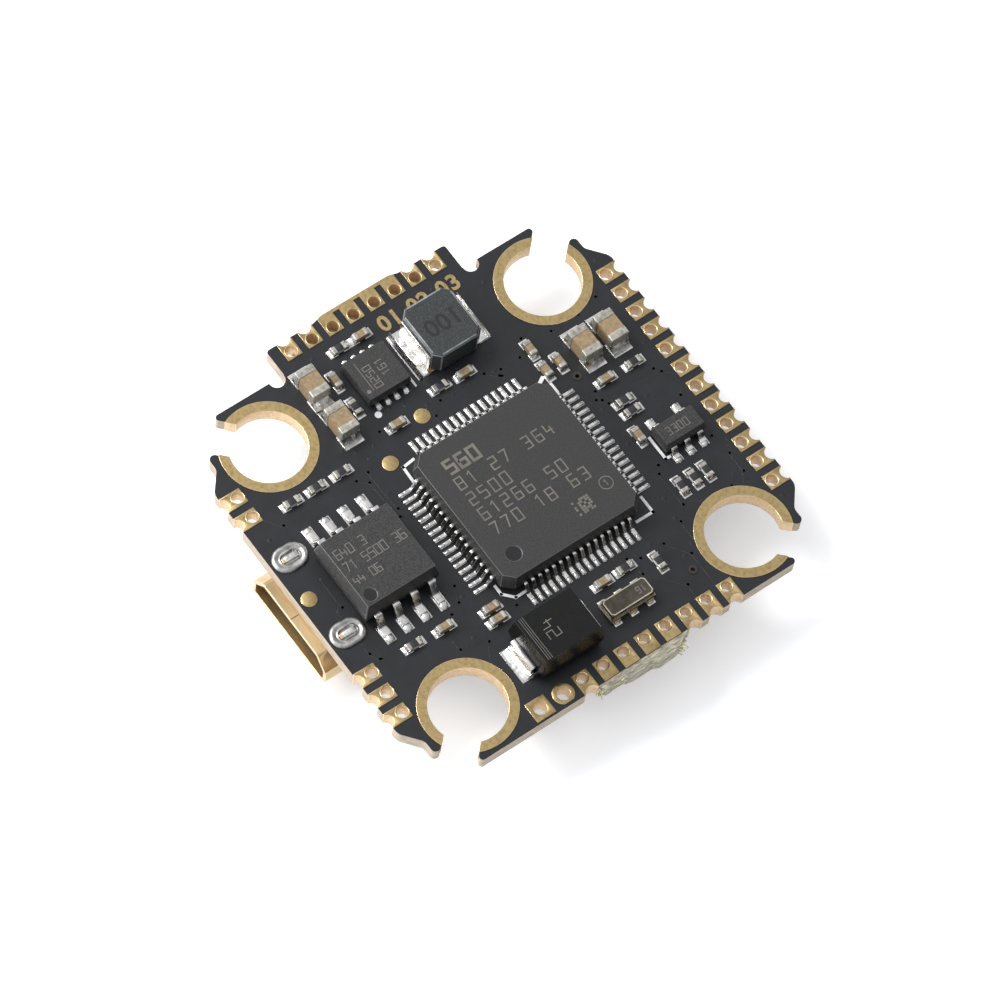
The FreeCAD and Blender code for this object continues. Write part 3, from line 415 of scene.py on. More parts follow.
MAKERS = {
    "board": board_look,
    "gold": gold_look,
    "shell": shell_look,
    # Painted highlight: a paler, shinier gold for eased edges, the pad collars and the socket shell's edges,
    # standing for light along them.
    "painted_highlight_gold": lambda: plain_look("painted_highlight_gold", (0.86, 0.66, 0.38), 0.24, 0.15, 1.0, 0.003),
    # Painted highlight: a paler grey for the inductor core's eased edges, standing for light along them.
    "ferrite_highlight_edge": lambda: plain_look("painted_highlight_on_ferrite", (0.24, 0.25, 0.25), 0.4, 0.06, spread=0.4),
    # Painted highlight: a paler grey for the eased edges of the processor and the flash, standing for light along
    # those edges.
    "mould_highlight_edge": lambda: plain_look("painted_highlight_on_mould", (0.11, 0.108, 0.118), 0.24, 0.06),
    "tin": lambda: tin_look("bright_tin"),
    "lead_tin": lambda: tin_look("lead_tin", 0.2, 0.2, 0.006),
    "mirror_tin": lambda: tin_look("mirror_tin", 0.16, 0.6, 0.016, 0.95, 0.72),
    "solder": lambda: tin_look("hammered_solder", 0.22, 0.22, 0.020, 0.92),
    "oval_solder": lambda: tin_look("dull_oval_solder", 0.33, 0.35, 0.020, 0.62),
    "end_metal": cap_metal_look,
    "mould": lambda: mould_look("mould_compound"),
    "gloss_mould": lambda: mould_look("gloss_mould", 0.17, 0.26, 1.5, 0.3),
    "ferrite": ferrite_look,
    "ceramic": ceramic_look,
    "alumina": lambda: plain_look("white_alumina", (0.72, 0.71, 0.68), 0.5, 0.1, 0.0, 0.003, 0.06),
    "coat": lambda: plain_look("black_glass_coat", (0.022, 0.022, 0.026), 0.3, 0.12),
    "dark_ceramic": lambda: plain_look("dark_ceramic", (0.05, 0.042, 0.035), 0.45, 0.06),
    "lid": lambda: plain_look("dark_lid", (0.10, 0.088, 0.070), 0.26, 0.3, 0.95, 0.003, 0.3),
    "can_side": lambda: plain_look("can_side", (0.34, 0.29, 0.22), 0.3, 0.1, 1.0, 0.004, 0.4),
    "lid_rim": lambda: plain_look("lid_rim", (0.62, 0.56, 0.44), 0.25, 0.10, 1.0, 0.003),
    "polished": lambda: plain_look("polished_dimple", (0.008, 0.008, 0.008), 0.2, 0.3, 0.0, 0.001),
    "covered": lambda: plain_look("mask_over_copper", (0.030, 0.022, 0.018), 0.35, 0.1),
    "nylon": lambda: plain_look("natural_nylon", (0.68, 0.65, 0.57), 0.45, 0.1, 0.0, 0.003, 0.05),
    "button": lambda: plain_look("button_nylon", (0.55, 0.53, 0.48), 0.5),
    "polymer": lambda: plain_look("black_polymer", (0.02, 0.02, 0.02), 0.42),
    "lens": lambda: clear_look("cloudy_lens", (0.9, 0.87, 0.7), 0.25),
    "flux": lambda: clear_look("amber_flux", (0.75, 0.32, 0.08), 0.12),
    "ink": lambda: plain_look("white_ink", tuple(colours().ink), 0.6, 0.05),
    "laser": lambda: plain_look("laser_mark", (0.165, 0.152, 0.128), 0.75, 0.05),
    "stamp": lambda: plain_look("dark_stamp", (0.012, 0.013, 0.013), 0.6, 0.05),
    "hole": lambda: plain_look("via_shadow", (0.006, 0.006, 0.007), 0.5),
    "fibre": lambda: plain_look("glass_fibre", (0.66, 0.62, 0.44), 0.5, 0.08, 0.0, 0.02, 0.35),
}
_looks = {}


def look_of(key):
    """Each look is made once, when a piece first needs it."""
    if key not in _looks:
        _looks[key] = MAKERS[key]()
    return _looks[key]


# Modelling

def placed(name, data):
    """A new object in the scene."""
    thing = bpy.data.objects.new(name, data)
    bpy.context.scene.collection.objects.link(thing)
    return thing


def publish(shape, name, look, body="board", replaces=(), smooth=35.0):
    """Turns a bmesh into a finished piece that rides on a body."""
    if not replaces:
        bmesh.ops.recalc_face_normals(shape, faces=shape.faces)
    mesh = bpy.data.meshes.new(name)
    mesh.materials.append(look_of(look))
    shape.to_mesh(mesh)
    shape.free()
    for face in mesh.polygons:
        face.use_smooth = True
    mesh.set_sharp_from_angle(angle=math.radians(smooth))
    piece = placed(name, mesh)
    even = piece.modifiers.new("even_shading", "WEIGHTED_NORMAL")
    even.keep_sharp = True
    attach(piece, body)
    if replaces:
        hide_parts(*replaces)
    return piece


def body_of(node):
    return next(body for body, nodes in frame["record"]["behaviour"]["bodies"].items() if node in nodes)


def dress(node, look):
    """Gives a CAD node that stays its finish."""
    for slot in frame["nodes"][node].material_slots:
        slot.material = look_of(look)


def merged(node):
    """A copy of a CAD node's mesh, with its loose triangles joined."""
    shape = bmesh.new()
    shape.from_mesh(frame["nodes"][node].data)
    bmesh.ops.remove_doubles(shape, verts=shape.verts, dist=MERGE)
    return shape


def soften(shape, edges, offset, segments=2, material=-1):
    bmesh.ops.bevel(shape, geom=edges, offset=offset, offset_type="OFFSET", segments=segments, profile=0.5,
                    affect="EDGES", clamp_overlap=True, material=material)


def eased(node, look, bevel_mm, segments=2, smooth=35.0, rim=None):
    """A CAD node's own shape with its edges eased, standing for the node; the rim look, when given, goes on those
    eased edges and is a paler colour that paints a highlight along them.
    """
    shape = merged(node)
    bmesh.ops.dissolve_limit(shape, angle_limit=math.radians(1.0), verts=shape.verts, edges=shape.edges)
    sharp = [e for e in shape.edges if len(e.link_faces) == 2 and e.calc_face_angle() > math.radians(38)]
    soften(shape, sharp, bevel_mm * MM, segments, 1 if rim else -1)
    piece = publish(shape, node + "_eased", look, body_of(node), (node,), smooth)
    if rim:
        piece.data.materials.append(look_of(rim))
    return piece


def solids(node):
    """The box of each separate solid in a CAD node: (low corner, high corner)."""
    shape = merged(node)
    waiting = set(shape.verts)
    boxes = []
    while waiting:
        start = next(iter(waiting))
        found = {start}
        front = [start]
        while front:
            vert = front.pop()
            for edge in vert.link_edges:
                other = edge.other_vert(vert)
                if other not in found:
                    found.add(other)
                    front.append(other)
        waiting -= found
        low = Vector(min(v.co[i] for v in found) for i in range(3))
        high = Vector(max(v.co[i] for v in found) for i in range(3))
        boxes.append((low, high))
    shape.free()
    return sorted(boxes, key=lambda b: tuple(round(x, 7) for x in (*b[0], *b[1])))


def middle(box):
    return (box[0] + box[1]) / 2


def add_box(shape, low, high, angle=0.0, bevel=0.0):
    """A box between two corners, turned about its own middle."""
    low = Vector(low)
    high = Vector(high)
    turn = Matrix.Rotation(angle, 4, "Z")
    place = Matrix.Translation((low + high) / 2) @ turn @ Matrix.Diagonal((*(high - low), 1))
    made = bmesh.ops.create_cube(shape, size=1.0, matrix=place)["verts"]
    if bevel:
        soften(shape, list({e for v in made for e in v.link_edges}), bevel)


def add_disc(shape, x, y, r, z0, z1, sides=24, bevel=0.0):
    """An upright disc; a bevel softens its two rims."""
    place = Matrix.Translation((x, y, (z0 + z1) / 2))
    made = bmesh.ops.create_cone(shape, cap_ends=True, cap_tris=False, segments=sides, radius1=r, radius2=r,
                                 depth=z1 - z0, matrix=place)["verts"]
    if bevel:
        soften(shape, list({e for v in made for e in v.link_edges if e.calc_face_angle(0.0) > 1.0}), bevel)


def add_blob(shape, centre, size, rand, rough=0.06, turns=10):
    """A lump of solder or resin: a squashed ball with an uneven skin."""
    place = Matrix.Translation(centre) @ Matrix.Diagonal((*size, 1))
    made = bmesh.ops.create_uvsphere(shape, u_segments=turns, v_segments=max(5, turns // 2 + 1), radius=0.5,
                                     matrix=place)["verts"]
    for vert in made:
        vert.co = centre + (vert.co - centre) * (1 + rand.uniform(-rough, rough))


def add_stroke(shape, start, end, width, z0, z1):
    """A flat bar from one point to another, with square ends that cover the corner."""
    start = Vector((*start, 0))
    end = Vector((*end, 0))
    run = end - start
    angle = math.atan2(run.y, run.x)
    mid = (start + end) / 2
    half = Vector(((run.length + width) / 2, width / 2, 0))
    add_box(shape, mid - half + UP * z0, mid + half + UP * z1, angle)


def add_strokes(shape, points, width, z0, z1):
    """Flat bars along a line of points in millimetres."""
    for start, end in zip(points, points[1:]):
        add_stroke(shape, [v * MM for v in start], [v * MM for v in end], width, z0, z1)


# The digits, as strokes on a grid one wide and two high
DIGITS = {
    "0": [[(0, 0), (1, 0), (1, 2), (0, 2), (0, 0)]],
    "1": [[(0.15, 1.6), (0.6, 2), (0.6, 0)]],
    "2": [[(0, 2), (1, 2), (1, 1), (0, 1), (0, 0), (1, 0)]],
    "3": [[(0, 2), (1, 2), (1, 0), (0, 0)], [(0.25, 1), (1, 1)]],
    "4": [[(0, 2), (0, 0.8), (1, 0.8)], [(0.75, 1.4), (0.75, 0)]],
    "5": [[(1, 2), (0, 2), (0, 1.1), (1, 1.1), (1, 0), (0, 0)]],
    "6": [[(1, 2), (0, 2), (0, 0), (1, 0), (1, 1), (0, 1)]],
    "7": [[(0, 2), (1, 2), (0.4, 0)]],
    "8": [[(0, 0), (1, 0), (1, 2), (0, 2), (0, 0)], [(0, 1), (1, 1)]],
    "9": [[(1, 1), (0, 1), (0, 2), (1, 2), (1, 0), (0, 0)]],
}


def add_ribbon(shape, points, width, z0, z1):
    """A flat line through the points with mitred corners; it closes when the ends meet."""
    closed = (points[0] - points[-1]).length < 1e-9
    if closed:
        points = points[:-1]
    rails = []
    for i, point in enumerate(points):
        runs = []
        if i or closed:
            runs.append((point - points[i - 1]).normalized())
        if i + 1 < len(points) or closed:
            runs.append((points[(i + 1) % len(points)] - point).normalized())
        sides = [Vector((-r.y, r.x)) for r in runs]
        miter = sum(sides, Vector((0, 0))).normalized()
        miter = miter / max(0.5, miter.dot(sides[0])) * width / 2
        rails.append([shape.verts.new((*(point + miter), z0)), shape.verts.new((*(point - miter), z0))])
    pairs = list(zip(rails, rails[1:] + ([rails[0]] if closed else [])))
    faces = [shape.faces.new((a[0], a[1], b[1], b[0])) for a, b in pairs]
    grown = bmesh.ops.extrude_face_region(shape, geom=faces)["geom"]
    for vert in (g for g in grown if isinstance(g, bmesh.types.BMVert)):
        vert.co.z = z1


def add_digits(shape, text, x, y, z0, z1, height, angle, width, slim=0.55, gap=0.45):
    """Digits from (x, y) on, at z0 to z1, read in the direction of angle."""
    along = Vector((math.cos(angle), math.sin(angle)))
    upward = Vector((-along.y, along.x))
    glyph = height * slim
    pen = Vector((x, y))
    for sign in text:
        for order, line in enumerate(DIGITS.get(sign, [])):
            points = [pen + along * (px * glyph) + upward * (py * height / 2) for px, py in line]
            add_ribbon(shape, points, width, z0, z1 + order * 0.0008 * MM)
        pen += along * (glyph + height * gap)


def typed(text, height, depth, bold=0.0, spacing=1.0):
    """Rounded digits of the built-in face as one closed mesh, standing on z=0 from the origin on."""
    curve = bpy.data.curves.new("typed", "FONT")
    curve.body = text
    curve.size = height / 0.70
    curve.extrude = depth / 2
    curve.offset = bold
    curve.space_character = spacing
    curve.resolution_u = 3
    letters = bpy.data.objects.new("typed", curve)
    mesh = bpy.data.meshes.new_from_object(letters)
    shape = bmesh.new()
    shape.from_mesh(mesh)
    for data, home in ((letters, bpy.data.objects), (mesh, bpy.data.meshes), (curve, bpy.data.curves)):
        home.remove(data)
    bmesh.ops.remove_doubles(shape, verts=shape.verts, dist=MERGE)
    bmesh.ops.translate(shape, verts=shape.verts, vec=UP * depth / 2)
    return shape


def lay_typed(shape, x, y, z, angle):
    turn = Matrix.Rotation(angle, 4, "Z")
    bmesh.ops.transform(shape, verts=shape.verts, matrix=Matrix.Translation((x, y, z)) @ turn)


# Board

def make_board():
    """The board's finish and its small vias: in each a near-black disc on both faces, painted shade standing for
    the hole, and a lip round each on the upper face.
    """
    dress("circuit_board", "board")
    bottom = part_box("circuit_board")[0].z
    via_shade = bmesh.new()
    lips = bmesh.new()
    spots = [(-9.4, 13.5), (-11.9, 7.0), (9.4, 13.35), (5.65, 7.4), (7.0, 7.2), (-1.1, 7.9), (1.6, 7.75),
             (-3.3, 12.6), (0.6, 12.5), (7.3, 12.2), (-7.9, 4.5), (-6.7, 4.0), (-6.8, 1.05), (-8.2, 2.3),
             (-7.1, -0.6), (-7.9, -1.7), (-8.1, -2.6), (-13.2, 4.2), (-13.3, 3.1), (-13.3, -4.5),
             (-6.6, -4.8), (7.6, 4.9), (8.9, 7.0), (7.2, -0.9), (4.2, -6.2), (-3.6, -5.9), (6.7, -7.2), (9.3, 6.2),
             (1.0, -12.7), (-5.0, -13.4), (-0.4, 10.6), (-6.9, -5.9), (4.6, 12.9)]
    for x, y in spots:
        # Painted shade: a near-black disc stands for the dark of each small via, on the upper and the lower face.
        add_disc(via_shade, x * MM, y * MM, VIA_R, -SUNK, 0.006 * MM, 12)
        add_disc(lips, x * MM, y * MM, VIA_LIP_R, -SUNK, 0.004 * MM, 14, 0.002 * MM)
        add_disc(via_shade, x * MM, y * MM, VIA_R, bottom - 0.006 * MM, bottom + SUNK, 12)
    publish(lips, "via_mask_lips", "board")
    publish(via_shade, "via_shade_discs", "hole")


def make_tracks():
    """Copper tracks that show as faint ridges under the mask."""
    shape = bmesh.new()
    runs = [
        [(4.2, 7.6), (4.2, 8.1), (6.6, 8.1), (7.4, 7.3), (9.4, 7.3)],
        [(3.7, 7.6), (3.7, 8.4), (3.9, 12.2), (3.0, 12.8)],
        [(-2.3, 7.6), (-2.3, 8.2), (-1.6, 8.2), (-1.6, 12.0), (-2.3, 12.7)],
        [(-1.8, 7.6), (-1.8, 7.9), (-1.2, 8.4), (-1.2, 12.3), (-0.8, 12.8)],
        [(0.7, 7.6), (0.7, 12.3), (0.7, 12.9)],
        [(7.2, 3.6), (8.0, 3.9), (8.0, 5.6), (9.4, 6.6), (11.6, 6.6)],
        [(7.2, 2.6), (7.6, 3.2), (8.9, 3.4), (10.9, 5.2), (11.7, 5.2)],
        [(7.2, -1.4), (7.4, -1.6), (7.4, -6.6), (8.4, -7.2)],
        [(3.2, -5.6), (3.4, -6.2), (4.4, -6.6), (4.8, -7.4), (4.8, -12.6)],
        [(-1.8, -5.6), (-2.0, -6.2), (-4.8, -6.4), (-5.3, -7.0), (-5.3, -12.2), (-6.3, -13.0)],
        [(-2.3, -5.6), (-2.5, -6.0), (-5.4, -6.1), (-7.2, -4.0), (-7.4, -3.0)],
        [(-5.6, -0.6), (-6.2, -0.6), (-6.9, 0.2), (-6.9, 3.4), (-6.2, 4.2), (-6.2, 5.9)],
        [(-5.6, 3.4), (-6.6, 4.4), (-6.6, 5.8), (-7.6, 6.6), (-8.0, 7.4)],
        [(7.4, 12.0), (6.8, 12.4), (5.4, 12.4), (4.9, 12.9)],
        [(6.6, 8.7), (7.2, 9.4), (7.2, 11.2), (6.4, 12.0)],
        [(-8.3, 12.7), (-7.4, 12.0), (-7.0, 10.4), (-7.0, 8.4), (-7.8, 7.6)],
        [(6.4, -4.6), (6.4, -3.9), (7.2, -3.2)],
        [(6.2, -8.3), (6.9, -8.3), (7.0, -7.0)],
        [(-12.6, -6.8), (-12.6, -6.2), (-13.5, -5.6)],
        [(-1.2, -12.4), (0.9, -12.4), (1.2, -12.8)],
        [(3.5, -12.8), (4.2, -12.8), (4.9, -12.4)],
    ]
    for run in runs:
        add_strokes(shape, run, TRACK_WIDTH, -SUNK, TRACK_TOP)
    publish(shape, "mask_over_tracks", "board")


def drawn(rand, *spans):
    """A vector with each part drawn from its span."""
    return Vector([rand.uniform(low, high) for low, high in spans])


def make_torn_edge():
    """Glass fibres and chips along the broken panel tab, with a tuft at each end."""
    rand = dice(0)
    shape = bmesh.new()
    low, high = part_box("circuit_board")
    edge = high.x - 0.62 * MM
    for _ in range(120):
        y = rand.uniform(-2.55, 2.9) * MM
        reach = (0.30 + 0.28 * math.exp(-((y / MM - 1.5) / 1.4) ** 2)) * MM
        x = edge + rand.uniform(-0.05 * MM, reach)
        z = rand.uniform(low.z + 0.05 * MM, -0.03 * MM)
        half = drawn(rand, (0.02, 0.05), (0.12, 0.55), (0.012, 0.035)) * MM
        centre = Vector((min(x, high.x - half.y * 0.2), y, z))
        add_box(shape, centre - half, centre + half, rand.uniform(-0.22, 0.22))
    for tuft_x, tuft_y, lean in ((edge, -2.75 * MM, 0.7), (high.x - 0.30 * MM, 2.55 * MM, -0.8)):
        for _ in range(26):
            z = rand.uniform(low.z + 0.1 * MM, -0.12 * MM)
            half = drawn(rand, (0.015, 0.04), (0.15, 0.42), (0.015, 0.04)) * MM
            x = tuft_x + rand.uniform(-0.12, 0.12) * MM
            centre = Vector((x, tuft_y + rand.uniform(-0.3, 0.3) * MM, z))
            add_box(shape, centre - half, centre + half, lean + rand.uniform(-0.5, 0.5))
    publish(shape, "torn_fibres", "fibre")


class BOARD_OT_board(bpy.types.Operator):
    """Finish the board: mask, laminate, tracks, vias and the torn tab"""
    bl_idname = "board.make_board"
    bl_label = "Board"

    def execute(self, context):
        make_board()
        make_tracks()
        make_torn_edge()
        return {"FINISHED"}


# Gold

def make_pad_lips():
    """The raised collar round each plated hole in the edge pads, in the paler gold that paints a highlight on it.
    """
    shape = bmesh.new()
    rows = [("far_edge_pads", 1, 1, 0.37, 1.0), ("port_edge_pads", 1, -1, 0.37, 1.0),
            ("tab_edge_pads", 0, -1, 0.37, 1.02), ("side_edge_pads", 0, 1, 0.33, 1.0)]
    for node, axis, side, radius, inset in rows:
        low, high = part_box(node)
        across = (high[axis] if side > 0 else low[axis]) - side * inset * MM
        first = low[1 - axis] + PAD_WIDTH / 2
        count = round((high[1 - axis] - low[1 - axis] - PAD_WIDTH) / PAD_PITCH) + 1
        for along in (first + i * PAD_PITCH for i in range(count)):
            if node == "port_edge_pads" and -6.0 * MM < along < 4.5 * MM:
                continue
            x, y = (along, across) if axis == 1 else (across, along)
            add_ring(shape, x, y, radius * MM, radius * MM + COLLAR_WIDTH, 0.03 * MM, 0.075 * MM)
    publish(shape, "pad_hole_collars", "painted_highlight_gold")


def add_ring(shape, x, y, inner, outer, z0, z1, sides=28):
    """A flat ring with a rounded top, spun from a small profile."""
    middle_r = (inner + outer) / 2
    profile = [(inner, z0), (outer, z0), (outer, (z0 + z1) / 2), (middle_r, z1), (inner, (z0 + z1) / 2)]
    verts = [shape.verts.new((x + r, y, z)) for r, z in profile]
    edges = [shape.edges.new((a, b)) for a, b in zip(verts, verts[1:] + verts[:1])]
    bmesh.ops.spin(shape, geom=verts + edges, cent=(x, y, 0), axis=(0, 0, 1), angle=math.tau, steps=sides,
                   use_merge=True, use_duplicate=False)


class BOARD_OT_gold(bpy.types.Operator):
    """Finish the plated rings, pads and test points"""
    bl_idname = "board.make_gold"
    bl_label = "Gold plating"

    def execute(self, context):
        # The paler gold on the eased edges of the plating is a painted highlight.
        eased("mounting_hole_plating", "gold", 0.035, rim="painted_highlight_gold")
        for node in ("far_edge_pads", "port_edge_pads", "tab_edge_pads", "side_edge_pads", "end_pads"):
            eased(node, "gold", 0.03, rim="painted_highlight_gold")
        eased("test_pads", "gold", 0.025, rim="painted_highlight_gold")
        dress("ring_vias", "covered")
        make_pad_lips()
        return {"FINISHED"}


# Chips

def make_resonator_rim():
    """The bright seam where the resonator's lid is welded to its base."""
    shape = bmesh.new()
    low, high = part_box("resonator_lid")
    centre = middle((low, high))
    corners = [Vector((low.x, low.y)), Vector((high.x, low.y)), Vector((high.x, high.y)),
               Vector((low.x, high.y))]
    cut = 0.16 * MM
    points = []
    for i, corner in enumerate(corners):
        for other in (corners[i - 1], corners[(i + 1) % 4]):
            points.append(corner + (other - corner).normalized() * cut)
    points.append(points[0])
    add_ribbon(shape, points, 0.10 * MM, low.z - 0.05 * MM, low.z + 0.07 * MM)
    inner = [Vector((p.x + (centre.x - p.x) * 0.10, p.y + (centre.y - p.y) * 0.04)) for p in points]
    add_ribbon(shape, inner, 0.07 * MM, high.z - 0.01 * MM, high.z + 0.012 * MM)
    publish(shape, "resonator_seam", "lid_rim")


class BOARD_OT_chips(bpy.types.Operator):
    """Finish the moulded packages, the inductor and the resonator"""
    bl_idname = "board.make_chips"
    bl_label = "Chips"

    def execute(self, context):
        # The paler grey on the eased edges of these two packages is a painted highlight.
        eased("processor_body", "mould", 0.05, 3, rim="mould_highlight_edge")
        eased("flash_body", "mould", 0.05, 3, rim="mould_highlight_edge")
        eased("regulator_body", "mould", 0.03)
        eased("converter_body", "mould", 0.02)
        eased("surge_diode_body", "gloss_mould", 0.05, 3)
        # The paler grey on the core's eased edges is a painted highlight.
        eased("inductor_core", "ferrite", 0.05, 3, rim="ferrite_highlight_edge")
        eased("resonator_base", "can_side", 0.03)
        make_resonator_rim()
        eased("resonator_lid", "lid", 0.02)
        eased("display_chip_body", "mould", 0.03)
        eased("gyro_chip", "mould", 0.03)
        eased("display_crystal_base", "dark_ceramic", 0.03)
        eased("display_crystal_lid", "lid", 0.02)
        return {"FINISHED"}


class BOARD_OT_leads(bpy.types.Operator):
    """Finish the leads and terminals"""
    bl_idname = "board.make_leads"
    bl_label = "Leads"

    def execute(self, context):
        eased("processor_leads", "lead_tin", 0.025)
        eased("flash_leads", "lead_tin", 0.035)
        eased("regulator_leads", "lead_tin", 0.025)
        eased("display_chip_leads", "lead_tin", 0.02)
        eased("surge_diode_leads", "mirror_tin", 0.04)
        eased("inductor_terminals", "mirror_tin", 0.03)
        eased("converter_pads", "tin", 0.02)
        eased("resonator_terminals", "gold", 0.015)
        dress("gyro_pads", "gold")
        return {"FINISHED"}


class BOARD_OT_passives(bpy.types.Operator):
    """Finish the chip capacitors, resistors and lamps"""
    bl_idname = "board.make_passives"
    bl_label = "Chip parts"

    def execute(self, context):
        dress("large_capacitor_bodies", "ceramic")
        dress("small_capacitor_bodies", "ceramic")
        eased("large_capacitor_terminals", "end_metal", 0.01, smooth=60)
        eased("small_capacitor_terminals", "end_metal", 0.01, smooth=60)
        dress("resistor_bodies", "alumina")
        eased("resistor_coats", "coat", 0.012)
        eased("resistor_terminals", "end_metal", 0.01, smooth=60)
        eased("status_lamp_bases", "nylon", 0.02)
        eased("status_lamp_lenses", "lens", 0.02)
        return {"FINISHED"}


# Solder

def end_direction(terminal, bodies):
    """From the nearest chip body to this terminal, along X or Y."""
    here = middle(terminal)
    nearest = min(bodies, key=lambda body: (middle(body) - here).length)
    run = here - middle(nearest)
    if abs(run.x) > abs(run.y):
        return Vector((math.copysign(1, run.x), 0, 0))
    return Vector((0, math.copysign(1, run.y), 0))


def level_axes(outward):
    """Unit vectors along and across a direction on the board, with no sign."""
    return Vector((abs(outward.x), abs(outward.y), 0)), Vector((abs(outward.y), abs(outward.x), 0))


def footing(low, high):
    """Which way a part stands off the board, 1 up or -1 down, and the height of its foot."""
    return (1, low.z) if high.z > 0 else (-1, high.z)


def add_land(lands, first, second, up, foot, bevel):
    """A tinned land between two points of the board's plane, under a foot."""
    x, y = (sorted((first[i], second[i])) for i in (0, 1))
    z = sorted((foot - up * LAND_SUNK, foot + up * solder_sizes().land_height))
    add_box(lands, (x[0], y[0], z[0]), (x[1], y[1], z[1]), 0.0, bevel)


def add_fillet(shape, terminal, outward, reach, rand, climb, steps=6):
    """A concave ramp of solder from the terminal's end face down to the board, uneven along its width."""
    low, high = terminal
    along, across = level_axes(outward)
    width = (high - low).dot(across) * 1.02
    up, foot = footing(low, high)
    height = (high.z - low.z) * climb
    face = middle(terminal) + outward * (high - low).dot(along) / 2
    start = Vector((face.x, face.y, foot)) - across * width / 2
    ramp = [(-0.3, 0.0), (1.0, 0.0), (1.0, 0.07), (0.62, 0.20), (0.32, 0.46), (0.10, 0.80), (-0.05, 1.0),
            (-0.3, 1.0)]
    profile = shape.faces.new([shape.verts.new(start + outward * reach * run + UP * up * height * rise)
                               for run, rise in ramp])
    verts = set(profile.verts)
    tip = profile
    for _ in range(steps):
        grown = bmesh.ops.extrude_face_region(shape, geom=[tip])["geom"]
        fresh = [g for g in grown if isinstance(g, bmesh.types.BMVert)]
        tip = next(g for g in grown if isinstance(g, bmesh.types.BMFace))
        for vert in fresh:
            vert.co += across * width / steps
        verts.update(fresh)
    for vert in verts:
        share = (vert.co - start).dot(across) / width
        rise = abs(vert.co.z - foot) / height
        out = (vert.co - start).dot(outward) / reach
        bulge = math.sin(math.pi * min(max(share, 0), 1))
        if out > 0.2:
            vert.co += outward * reach * (0.14 * bulge - 0.12)
        if rise > 0.02:
            vert.co.z += up * height * 0.07 * rand.uniform(-1, 1) * rise
            vert.co += outward * reach * 0.05 * rand.uniform(-1, 1)
    bmesh.ops.recalc_face_normals(shape, faces=list({f for v in verts for f in v.link_faces}))


def make_chip_fillets():
    """A land and a ramp of solder at each end of the chip capacitors and resistors."""
    rand = dice(1)
    sizes = solder_sizes()
    groups = [("large_capacitor_terminals", "large_capacitor_bodies", sizes.fillet_large, 0.42),
              ("small_capacitor_terminals", "small_capacitor_bodies", sizes.fillet_small, 0.62),
              ("resistor_terminals", "resistor_bodies", sizes.fillet_small, 0.9)]
    shape = bmesh.new()
    lands = bmesh.new()
    for terminals, bodies, reach, climb in groups:
        boxes = solids(bodies)
        for terminal in solids(terminals):
            outward = end_direction(terminal, boxes)
            add_fillet(shape, terminal, outward, reach * rand.uniform(0.85, 1.15), rand, climb)
            low, high = terminal
            grow = Vector((0.04, 0.04, 0)) * MM
            far = outward * reach * 1.15
            near_corner = Vector((min(low.x, low.x + far.x), min(low.y, low.y + far.y), 0)) - grow
            far_corner = Vector((max(high.x, high.x + far.x), max(high.y, high.y + far.y), 0)) + grow
            add_land(lands, near_corner, far_corner, *footing(low, high), 0.008 * MM)
    publish(shape, "chip_end_solder", "solder", smooth=50)
    publish(lands, "chip_lands", "tin")


def make_lead_solder():
    """A tinned land under each lead's foot, and a bead at its toe."""
    rand = dice(2)
    sizes = solder_sizes()
    shape = bmesh.new()
    lands = bmesh.new()
    rows = [("processor_leads", "processor_body", 0.34, sizes.bead_width, 0.62, 0.12),
            ("flash_leads", "flash_body", 0.42, 0.66 * MM, 0.85, 0.17),
            ("regulator_leads", "regulator_body", 0.22, 0.55 * MM, 0.45, 0.13),
            ("display_chip_leads", "display_chip_body", 0.30, 0.30 * MM, 0.6, 0.11),
            ("converter_pads", "converter_body", 0.05, 0.34 * MM, 0.3, 0.11)]
    for leads, body, past, width, foot_length, climb in rows:
        body_low, body_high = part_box(body)
        centre = middle((body_low, body_high))
        for low, high in solids(leads):
            here = middle((low, high))
            run = here - centre
            if here.x > body_high.x or here.x < body_low.x:
                outward = Vector((math.copysign(1, run.x), 0, 0))
            else:
                outward = Vector((0, math.copysign(1, run.y), 0))
            along, across = level_axes(outward)
            half = across * width / 2
            up, foot = footing(low, high)
            toe = here + outward * ((high - low).dot(along) / 2)
            toe.z = foot
            heel = toe - outward * foot_length * MM
            tip = toe + outward * past * MM
            near_corner = Vector((min(heel.x, tip.x), min(heel.y, tip.y), 0)) - half
            far_corner = Vector((max(heel.x, tip.x), max(heel.y, tip.y), 0)) + half
            add_land(lands, near_corner, far_corner, up, foot, 0.01 * MM)
            size = along * (past * 1.5 + 0.16) * MM + half * 1.84
            size.z = 2 * climb * MM * rand.uniform(0.85, 1.15)
            add_blob(shape, toe + outward * past * 0.30 * MM, size, rand, 0.05, 10)
    publish(shape, "lead_solder", "solder", smooth=80)
    publish(lands, "lead_lands", "tin")


